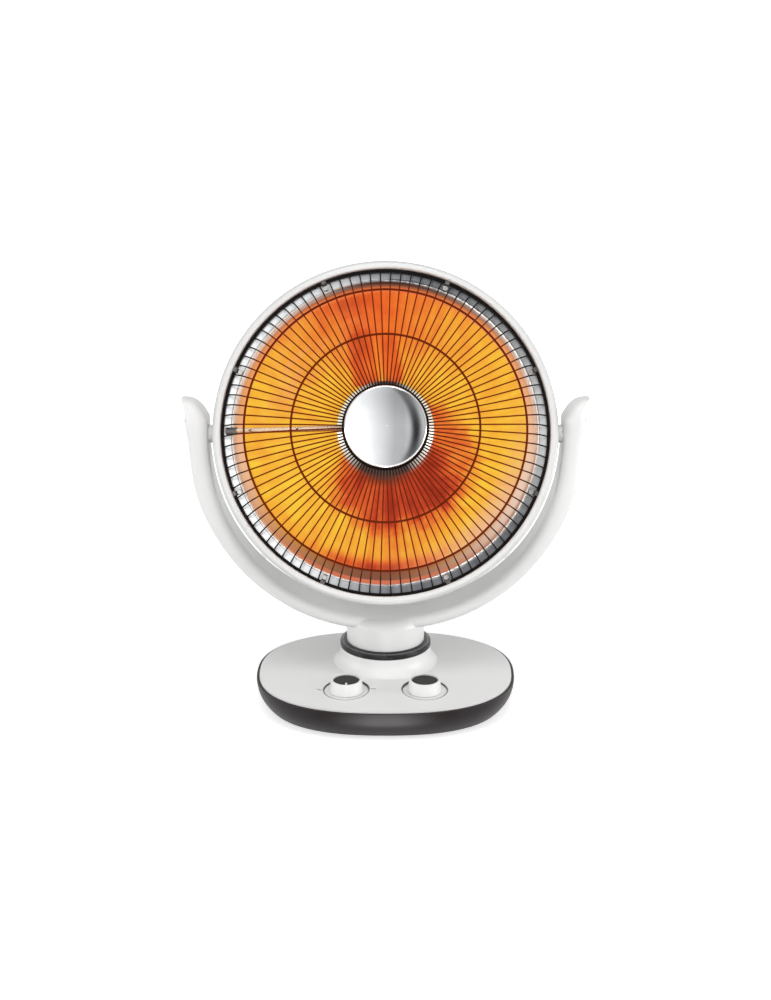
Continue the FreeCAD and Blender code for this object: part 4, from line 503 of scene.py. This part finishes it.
def dish_warmth(finish, radius, angle):
    """How warm the painted glow looks at a place, 0 deep red to 1 yellow."""
    rays = polar_noise(finish, angle, radius, "rays")
    patches = polar_noise(finish, angle, radius, "patches")
    drift = radius + (patches - 0.5) * TONGUE_DRIFT
    outward = RED_TOP_INNER + radius.between(*BANDS["red_top"]) * (1 - RED_TOP_INNER)
    red = ray(angle, *RAYS["red_top"]) * outward * RED_TOP_DEPTH
    for foot, tip, half_width, end, depth in RED_TONGUES:
        red = red + tongue(angle, drift, foot, tip, half_width, end) * depth
    for degrees, sharpness, middle, width, depth in RED_PATCHES:
        red = red + ray(angle, degrees, sharpness) * radius.hill(middle, width) * depth
    return GLOW_WARMTH + (rays - 0.5) * 0.34 + (patches - 0.5) * 0.5 - red


def dish_back(radius, depth):
    """1 on the back of the dish's sheet, which the element doesn't light."""
    share = radius / DISH_RADIUS
    front = DISH_RIM + DISH_DEPTH * (1 - share * share)
    return ((depth - front) / DISH_SHEET).between(*DISH_BACK) * (1 - radius.between(*BANDS["back"]))


def dish_glow(finish, radius, angle):
    """Painted light of the dish: the warm pattern with paler patches, bands at its rim, darker brown bands and the
    cup's painted shadow.
    """
    streaks = polar_noise(finish, angle, radius, "streaks")
    foot = ray(angle, *RAYS["foot"])
    peach = ray(angle, *RAYS["peach"]) * radius.between(*BANDS["peach"]) * 0.85
    blush = ray(angle, *RAYS["blush"]) * radius.hill(*RINGS["blush"]) * streaks.between(0.4, 0.7) * 0.7
    ember = ray(angle, *RAYS["ember"]) * radius.between(*BANDS["ember"]) * 0.42
    rim = finish.blend(ray(angle, *RAYS["pale_rim"]), rgb(240, 168, 106), rgb(244, 222, 202))
    rim = finish.blend(ray(angle, *RAYS["left_rim"]) * 0.9, rim, rgb(248, 206, 174))
    rim = finish.blend(ray(angle, *RAYS["top_rim"]) * 0.9, rim, rgb(240, 110, 58))
    # Darker brown bands in the painted glow: at the rim's foot and round the top.
    brown_bands = foot * radius.between(*BANDS["foot_brown_band"])
    brown_bands = brown_bands + ray(angle, *RAYS["top_brown_band"]) * radius.hill(*RINGS["top_brown_band"]) * 0.95
    foot_line = foot * radius.between(*BANDS["foot_line"])
    hub_shadow = ray(angle, *RAYS["hub_shadow"]) * (1 - radius.between(*BANDS["hub_shadow"])) * 0.95
    layers = (
        (peach, rgb(238, 196, 162)), (blush, rgb(246, 168, 104)), (ember, rgb(255, 112, 34)),
        (radius.between(*BANDS["rim"]) * 0.9, rim), (brown_bands, rgb(122, 84, 64)), (foot_line, rgb(214, 118, 88)),
        (hub_shadow, rgb(92, 58, 46)),
    )
    glow = glow_colour(finish, dish_warmth(finish, radius, angle))
    for share, colour in layers:
        glow = finish.blend(share, glow, colour)
    return glow


def flange_steel(finish, radius, angle, sheet):
    """Bare sheet round the glow, with a painted reflection: darker grey above and at the lower right, whiter on
    the right, a painted highlight on the bead inside and brown at the top.
    """
    top = ray(angle, *RAYS["top"])
    # Where the painted reflection turns darker grey: above, to the right and at the lower right.
    dark_reflection = ray(angle, *RAYS["dark_reflection_top"]) * 0.95 + ray(angle, *RAYS["dark_reflection_right"]) * 0.3
    dark_reflection = dark_reflection + lobe(angle, *LOBES["dark_reflection_foot"]) * 0.93 + (sheet - 0.5) * 0.3
    bead = radius.hill(*BEAD) * 0.85 * (1 - top) * (1 - ray(angle, *RAYS["foot_bead"]) * 0.6)
    bright = finish.blend(lobe(angle, *LOBES["bright_right"]), rgb(222, 223, 224), rgb(255, 255, 255))
    steel = finish.blend(dark_reflection, bright, rgb(112, 114, 118))
    steel = finish.blend(bead, steel, rgb(246, 242, 236))
    return finish.blend(top * (1 - radius.between(*BANDS["flange"])), steel, rgb(70, 52, 44))


def glowing_reflector():
    """Polished dish with the element's light painted on its front as emission: yellow rays, with deep red where
    the element's body shows.
    """
    finish = Finish("glowing_reflector")
    radius, angle, depth = head_polar(finish)
    edge = DISH_EDGE + ray(angle, *RAYS["foot"]) * DISH_FOOT_DROP
    inside = (1 - (radius - edge).between(*DISH_FADE)) * (1 - dish_back(radius, depth))
    emitted = finish.blend(inside, rgb(0, 0, 0), dish_glow(finish, radius, angle))
    sheet = polar_noise(finish, angle, radius, "sheet")
    # Inside the rim the base colour is a dark red: a painted tint of the glow on the metal.
    base = finish.blend(inside, flange_steel(finish, radius, angle, sheet), rgb(70, 30, 14))
    return finish.surface(
        Base_Color=base, Metallic=1.0, Roughness=0.3 + (sheet - 0.5) * 0.14 + inside * 0.2,
        Emission_Color=emitted, Emission_Strength=GLOW_STRENGTH)


def lit_cup():
    """Bright pan behind the cap, its light painted as emission: its edge takes the dish's glow, its floor a
    painted reflection of the element, with painted shade at its top and foot.
    """
    finish = Finish("lit_cup")
    radius, angle = head_polar(finish)[:2]
    sheet = polar_noise(finish, angle, radius, "cup")
    # Painted shade, deepest at the cup's foot and top, darkens both its colour and its emission.
    shade = ray(angle, *RAYS["cup_foot"]) * 1.6 + ray(angle, *RAYS["cup_top"]) * 1.1 + (sheet - 0.5) * 0.3
    glow = glow_colour(finish, dish_warmth(finish, radius + CUP_REACH, angle))
    edge = radius.between(*CUP_EDGE) * (1 - ray(angle, *RAYS["cup_edge"]) * 0.96)
    tone = finish.blend(shade, rgb(170, 164, 156), rgb(58, 44, 38))
    lit = finish.blend(edge, finish.blend(shade, rgb(225, 218, 204), rgb(70, 50, 43)), glow)
    return finish.surface(
        Base_Color=finish.blend(edge, tone, rgb(70, 30, 14)), Metallic=1.0,
        Roughness=0.3 + (sheet - 0.5) * 0.2, Emission_Color=lit, Emission_Strength=GLOW_STRENGTH)


def polished_cap():
    """Spun and polished disc with faint turning lines."""
    finish = Finish("polished_cap")
    radius = head_polar(finish)[0]
    rings = finish.noise(finish.node("ShaderNodeCombineXYZ", None, {"X": radius * 3.2}), 1.0, 3.0, 0.6)
    haze = finish.noise(finish.place(), HAZE_SCALE, 3.0)
    tone = finish.blend(haze, rgb(222, 223, 224), rgb(206, 207, 209))
    return finish.surface(
        Base_Color=tone, Metallic=1.0, Roughness=0.07 + (rings - 0.5) * 0.04 + (haze - 0.5) * 0.03)


def hot_wire():
    """Resistance wire at heat, brighter in the middle of the winding."""
    finish = Finish("hot_wire")
    depth = head_polar(finish)[2]
    oxide = finish.noise(finish.place(), OXIDE_SCALE, 3.0)
    glow = glow_colour(finish, depth.hill(*COIL_HEAT) * 0.8 + (oxide - 0.5) * 0.3)
    tone = finish.blend(oxide, rgb(150, 96, 70), rgb(96, 60, 48))
    return finish.surface(
        Base_Color=tone, Metallic=0.7, Roughness=0.5 + (oxide - 0.5) * 0.3, Emission_Color=glow,
        Emission_Strength=COIL_STRENGTH)


FINISHES = {
    "white_plastic": moulded_plastic("white_shell"),
    "charcoal_plastic": moulded_plastic("charcoal_shell"),
    "grey_plastic": collar_plastic(),
    "natural_plastic": moulded_plastic("gear_plastic"),
    "black_rubber": moulded_plastic("black_rubber"),
    "zinc_steel": worked_metal("zinc_plate"),
    "ballast_iron": worked_metal("cast_iron"),
    "polished_reflector": glowing_reflector(),
    "black_enamel": black_enamel(),
    "polished_steel": bright_stay(),
    "ceramic": ceramic_white(),
    "resistance_wire": hot_wire(),
}
INSERT_PLASTIC = moulded_plastic("insert_plastic")
CLAMP_STEEL = worked_metal("clamp_steel")
NODE_FINISHES = {
    "element_cap": polished_cap(),
    "element_cup": lit_cup(),
    "front_bezel": moulded_plastic("bezel_shell", painted_bezel_edge_shade),
    "base_cover": moulded_plastic("cover_shell", dial_recess_painted_shade),
    "heat_knob_insert": INSERT_PLASTIC,
    "timer_knob_insert": INSERT_PLASTIC,
    "stay_clamp": CLAMP_STEEL,
    "guard_clips": CLAMP_STEEL,
}


def dress(piece, material):
    piece.data.materials.clear()
    piece.data.materials.append(material)


for part in frame["record"]["subparts"]:
    dress(nodes[part["node"]], NODE_FINISHES.get(part["node"]) or FINISHES[part["material_slot"]])


# New pieces

def deselect():
    bpy.ops.object.select_all(action="DESELECT")


def settle(piece, name, body, material, place=None, replaced=()):
    """Put a finished piece's place in its mesh, give it its finish and let it ride."""
    piece.data.transform(piece.matrix_world)
    piece.matrix_world = Matrix.Identity(4)
    if place is not None:
        piece.data.transform(place)
    piece.name = name
    piece.data.name = name
    dress(piece, material)
    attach(piece, body)
    if replaced:
        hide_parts(*replaced)
    return piece


def joined(pieces):
    deselect()
    for piece in pieces:
        piece.select_set(True)
    bpy.context.view_layer.objects.active = pieces[0]
    bpy.ops.object.join()
    return bpy.context.object


def copies(piece, places):
    """The piece, copied to each place with a mesh of its own, as one object."""
    made = []
    for place in places:
        copy = piece.copy()
        copy.data = piece.data.copy()
        copy.data.transform(place)
        bpy.context.collection.objects.link(copy)
        made.append(copy)
    bpy.data.objects.remove(piece)
    return joined(made)


def smooth(piece, degrees=40):
    deselect()
    piece.select_set(True)
    bpy.context.view_layer.objects.active = piece
    bpy.ops.object.shade_smooth_by_angle(angle=math.radians(degrees))
    return piece


def drawn_wire(points, radius, sides, resolution):
    """A round wire along a smooth line through the points, closed at both ends."""
    deselect()
    bpy.ops.curve.primitive_bezier_curve_add()
    wire = bpy.context.object
    wire.matrix_world = Matrix.Identity(4)
    spline = wire.data.splines[0]
    spline.bezier_points.add(len(points) - 2)
    for knot, point in zip(spline.bezier_points, points):
        knot.co = point
        knot.handle_left_type = "AUTO"
        knot.handle_right_type = "AUTO"
    wire.data.dimensions = "3D"
    wire.data.resolution_u = resolution
    wire.data.bevel_depth = radius
    wire.data.bevel_resolution = sides
    wire.data.use_fill_caps = True
    bpy.ops.object.convert(target="MESH")
    return smooth(bpy.context.object)


def turn_about_face(share):
    return Matrix.Rotation(2 * math.pi * share, 4, "Y")


def guard_wires():
    """Wires from the edge ring over the bend to the hub plate, bent and not mitred."""
    corners = [Vector((r, y, 0)) * MM for r, y in WIRE_CORNERS]
    line = [corners[0]]
    for i, bend in enumerate(WIRE_BENDS, start=1):
        before = (corners[i - 1] - corners[i]).normalized() * bend * MM
        after = (corners[i + 1] - corners[i]).normalized() * bend * MM
        line += [corners[i] + before, corners[i] + (before + after) * WIRE_BEND_CUT, corners[i] + after]
    line.append(corners[-1])
    wire = drawn_wire(line, WIRE_RADIUS, 1, 3)
    ring = copies(wire, [turn_about_face((i + 0.5) / WIRE_COUNT) for i in range(WIRE_COUNT)])
    settle(ring, "guard_wires_drawn", "head", FINISHES["black_enamel"], HEAD, ["guard_wires"])


def winding(turns, place, radius):
    """A wound wire: place gives a point for each share of its length."""
    steps = turns * WINDING_KNOTS
    return drawn_wire([place(i / steps) for i in range(steps + 1)], radius, 2, 3)


def heating_coil():
    def place(share):
        angle = 2 * math.pi * COIL_TURNS * share
        radius, depth = (Vector(COIL_BACK) * (1 - share) + Vector(COIL_FRONT) * share) * MM
        return Vector((radius * math.cos(angle), depth, radius * math.sin(angle)))

    coil = winding(COIL_TURNS, place, COIL_WIRE / 2)
    slot_name = "resistance_wire"
    settle(coil, "heating_coil_wound", "head", FINISHES[slot_name], HEAD, ["heating_coil"])


def plunger_spring():
    low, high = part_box("plunger_spring")
    centre = (low + high) / 2
    radius = (high.x - low.x - SPRING_WIRE) / 2

    def place(share):
        angle = 2 * math.pi * SPRING_TURNS * share
        height = low.z + SPRING_WIRE / 2 + (high.z - low.z - SPRING_WIRE) * share
        return Vector((centre.x + radius * math.cos(angle), centre.y + radius * math.sin(angle), height))

    spring = winding(SPRING_TURNS, place, SPRING_WIRE / 2)
    slot_name = "zinc_steel"
    settle(spring, "plunger_spring_wound", "base", FINISHES[slot_name], None, ["plunger_spring"])


def printed_bar(node, x, y, length, width):
    """A thin printed bar that lies on a node's upper face, along X."""
    spot, normal = nodes[node].ray_cast(Vector((x, y, 1.0)), Vector((0, 0, -1)))[1:3]
    deselect()
    bpy.ops.mesh.primitive_cube_add(size=1.0, scale=(length, width, PRINT_HEIGHT))
    bar = bpy.context.object
    bpy.ops.object.modifier_add(type="BEVEL")
    bar.modifiers[-1].width = PRINT_HEIGHT / 3
    bar.modifiers[-1].segments = 2
    bpy.ops.object.modifier_apply(modifier=bar.modifiers[-1].name)
    lie = normal.to_track_quat("Z", "Y").to_matrix().to_4x4()
    bar.data.transform(Matrix.Translation(spot + normal * PRINT_HEIGHT * PRINT_LIFT) @ lie)
    return bar


def dial_marks():
    """Two short printed ticks beside the left dial, and the pointer on its knob."""
    centre = Vector(joints["heat_knob_turn"]["pos_m"])
    ticks = []
    for side in (-1, 1):
        across = centre.x + side * (DIAL_RADIUS + TICK_LENGTH * TICK_OFFSET)
        ticks.append(printed_bar("base_cover", across, centre.y, TICK_LENGTH, TICK_WIDTH))
    settle(joined(ticks), "dial_marks", "base", moulded_plastic("print_ink"))
    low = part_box("heat_knob_insert")[0]
    y = low.y + POINTER_LENGTH * POINTER_OFFSET
    pointer = printed_bar("heat_knob_insert", centre.x, y, POINTER_WIDTH, POINTER_LENGTH)
    settle(pointer, "heat_pointer", "heat_knob", moulded_plastic("pointer_ink"))


# Screws with cross recesses

def loose_solids(name):
    """Corner points of each separate solid in a node."""
    mesh = bmesh.new()
    mesh.from_mesh(nodes[name].data)
    bmesh.ops.remove_doubles(mesh, verts=mesh.verts, dist=0.001 * MM)
    left = set(mesh.verts)
    solids = []
    while left:
        border = [left.pop()]
        solid = []
        while border:
            vert = border.pop()
            solid.append(vert.co.copy())
            for edge in vert.link_edges:
                other = edge.other_vert(vert)
                if other in left:
                    left.remove(other)
                    border.append(other)
        solids.append(solid)
    mesh.free()
    return solids


def cylinder(radius, low, high, sides=40):
    deselect()
    bpy.ops.mesh.primitive_cylinder_add(
        radius=radius, depth=high - low, vertices=sides, location=(0, 0, (low + high) / 2))
    piece = bpy.context.object
    bpy.ops.object.transform_apply(location=True, rotation=True, scale=True)
    return piece


def cross_screw(head_radius, head_height, shank_radius, length):
    """Screw along Z with the top of its rounded head at the origin and a cross recess in it."""
    head = cylinder(head_radius, -head_height, 0)
    bpy.ops.object.modifier_add(type="BEVEL")
    head.modifiers[-1].width = head_height * SCREW_ROUNDING
    head.modifiers[-1].segments = 4
    head.modifiers[-1].limit_method = "ANGLE"
    bpy.ops.object.modifier_apply(modifier=head.modifiers[-1].name)
    slot = (head_radius * RECESS_LENGTH, head_radius * RECESS_WIDTH, head_height)
    for turn in (0, math.pi / 2):
        deselect()
        bpy.ops.mesh.primitive_cube_add(size=1.0, scale=slot)
        tool = bpy.context.object
        tool.data.transform(Matrix.Rotation(turn, 4, "Z"))
        deselect()
        head.select_set(True)
        bpy.context.view_layer.objects.active = head
        bpy.ops.object.modifier_add(type="BOOLEAN")
        head.modifiers[-1].object = tool
        head.modifiers[-1].operation = "DIFFERENCE"
        bpy.ops.object.modifier_apply(modifier=head.modifiers[-1].name)
        bpy.data.objects.remove(tool)
    shank = cylinder(shank_radius, -length, -head_height * 0.9, 24)
    return smooth(joined([head, shank]), 35)


def recessed_screws(name, body, outward, head_height, shank_radius):
    """Put a cross recess in every screw of a node: outward gives the way that a screw at a place looks."""
    places = []
    for points in loose_solids(name):
        middle = sum(points, Vector()) / len(points)
        way = outward(middle)
        reach = [point.dot(way) for point in points]
        axis = [point - way * point.dot(way) for point in points]
        centre = sum(axis, Vector()) / len(axis)
        radius = max((point - centre).length for point in axis)
        top = centre + way * max(reach)
        places.append(Matrix.Translation(top) @ way.to_track_quat("Z", "Y").to_matrix().to_4x4())
        length = max(reach) - min(reach)
    screws = copies(cross_screw(radius, head_height, shank_radius, length), places)
    settle(screws, name + "_recessed", body, FINISHES["zinc_steel"], None, [name])


def away_from_face_axis(place):
    """Straight out from the head's axis."""
    offset = place - PIVOT
    return (offset - FACE * offset.dot(FACE)).normalized()


def to_front(place):
    return FACE


def to_back(place):
    return Vector((0, 1, 0))


def down(place):
    return Vector((0, 0, -1))


SCREWS = (                      # node, body, way out, height of the head and radius of the shank, in mm
    ("clip_screws", "head", to_front, 1.4, 1.4),
    ("housing_screws", "head", away_from_face_axis, 1.2, 1.7),
    ("neck_screws", "yoke", to_back, 2.4, 1.7),
    ("yoke_screws", "yoke", to_back, 2.4, 1.7),
    ("base_screws", "base", down, 2.4, 1.7),
)

guard_wires()
heating_coil()
plunger_spring()
dial_marks()
for name, body, outward, head_height, shank_radius in SCREWS:
    recessed_screws(name, body, outward, head_height * MM, shank_radius * MM)


# Studio

def plain_floor():
    """Pale floor that shows white to the camera and keeps the object's shadow."""
    deselect()
    bpy.ops.mesh.primitive_plane_add(size=FLOOR_SIZE, location=(0, 0, 0))
    floor = bpy.context.object
    floor.name = "floor"
    finish = Finish("studio_floor")
    across, along = finish.split(finish.place())[:2]
    far = (across * across + along * along).call("SQRT").between(*FLOOR_FADE)
    shown = finish.blend(far, rgb(*FLOOR_NEAR), rgb(255, 255, 255))
    white = finish.blend(finish.seen(), rgb(0, 0, 0), shown)
    dress(floor, finish.surface(
        Base_Color=rgb(*FLOOR_TONE), Roughness=0.9, Specular_IOR_Level=0.0, Emission_Color=white,
        Emission_Strength=1.0))


def mirrored_card(name, place, size, brightness):
    """Card that shiny faces mirror, unseen by the camera and without light of its own on the rest."""
    deselect()
    bpy.ops.mesh.primitive_plane_add(size=1.0)
    card = bpy.context.object
    card.name = name
    card.data.transform(place @ Matrix.Diagonal((*size, 1, 1)))
    finish = Finish(name)
    place_on_card = finish.node("ShaderNodeMapping", {"vector_type": "TEXTURE"}, {
        "Vector": finish.place(), "Location": place.to_translation(), "Rotation": place.to_euler()})
    dress(card, finish.surface(
        Base_Color=rgb(0, 0, 0), Specular_IOR_Level=0.0, Emission_Color=brightness(finish, place_on_card),
        Emission_Strength=1.0))
    card.visible_camera = False
    card.visible_diffuse = False
    card.visible_shadow = False


def gradient_card():
    """Card over the camera for the cap: bright on the left, with a dark crescent on the right."""
    way = Vector((0, -math.cos(CARD_RISE), math.sin(CARD_RISE)))
    turn = (-way).to_track_quat("Z", "Y").to_matrix().to_4x4()

    def brightness(finish, place):
        across, rise = finish.split(place)[:2]
        stops = [(spot, (shade,) * 3) for spot, shade in CARD_SHADES]
        shade = finish.node("ShaderNodeValToRGB", {"stops": stops}, {"Fac": 0.5 - across / CARD_SIZE[0]})
        aside, over = across - CRESCENT_FOCUS, rise - CARD_MIDDLE
        distance = (aside * aside + over * over).call("SQRT")
        crescent = distance.between(*CRESCENT_INNER) * (1 - distance.between(*CRESCENT_OUTER))
        middle = over.hill(0, CRESCENT_HEIGHT)
        crescent = crescent * (CRESCENT_TIPS + middle * (1 - CRESCENT_TIPS)) * CRESCENT_SHADE
        dim = crescent.call("MAXIMUM", over.between(*CARD_TOP_FADE) * CARD_TOP_SHADE)
        return finish.blend(dim, shade, rgb(0, 0, 0))

    place = Matrix.Translation(PIVOT + way * CARD_DISTANCE) @ turn
    mirrored_card("gradient_card", place, CARD_SIZE, brightness)


def floor_card():
    """Bright card on the floor in front of the base, mirrored in the middle of the tray's wall."""
    def brightness(finish, place):
        glare = finish.split(place)[0].hill(0, GLARE_WIDTH) * GLARE
        return finish.node("ShaderNodeCombineColor", None, {"Red": glare, "Green": glare, "Blue": glare})

    mirrored_card("floor_card", Matrix.Translation(GLARE_PLACE), GLARE_SIZE, brightness)


def soft_lamp(name, place, aim, size, power):
    deselect()
    bpy.ops.object.light_add(type="AREA", location=place)
    lamp = bpy.context.object
    lamp.name = name
    lamp.data.shape = "RECTANGLE"
    lamp.data.size, lamp.data.size_y = size
    lamp.data.energy = power
    lamp.rotation_euler = (Vector(aim) - Vector(place)).to_track_quat("-Z", "Y").to_euler()


def studio_world():
    """White to the camera and in mirrors, and a soft light on everything else, most of it from the front."""
    world = bpy.data.worlds.new("studio")
    bpy.context.scene.world = world
    finish = Finish("studio", world)
    behind = finish.split(finish.place())[1] * 0.5 + 0.5
    soft = AMBIENT_FRONT + behind * (AMBIENT_BACK - AMBIENT_FRONT)
    finish.surface(Color=(1, 1, 1, 1), Strength=soft + finish.seen() * (1 - soft))


def camera():
    deselect()
    away = Vector((0, -math.cos(CAMERA_PITCH), math.sin(CAMERA_PITCH)))
    bpy.ops.object.camera_add(location=CAMERA_AIM + away * CAMERA_DISTANCE)
    eye = bpy.context.object
    eye.rotation_euler = (math.pi / 2 - CAMERA_PITCH, 0, 0)
    eye.data.lens = CAMERA_LENS
    eye.data.sensor_width = CAMERA_SENSOR
    bpy.context.scene.camera = eye


plain_floor()
gradient_card()
floor_card()
studio_world()
for lamp in LAMPS:
    soft_lamp(*lamp)
camera()
bpy.context.scene.view_settings.view_transform = "Standard"
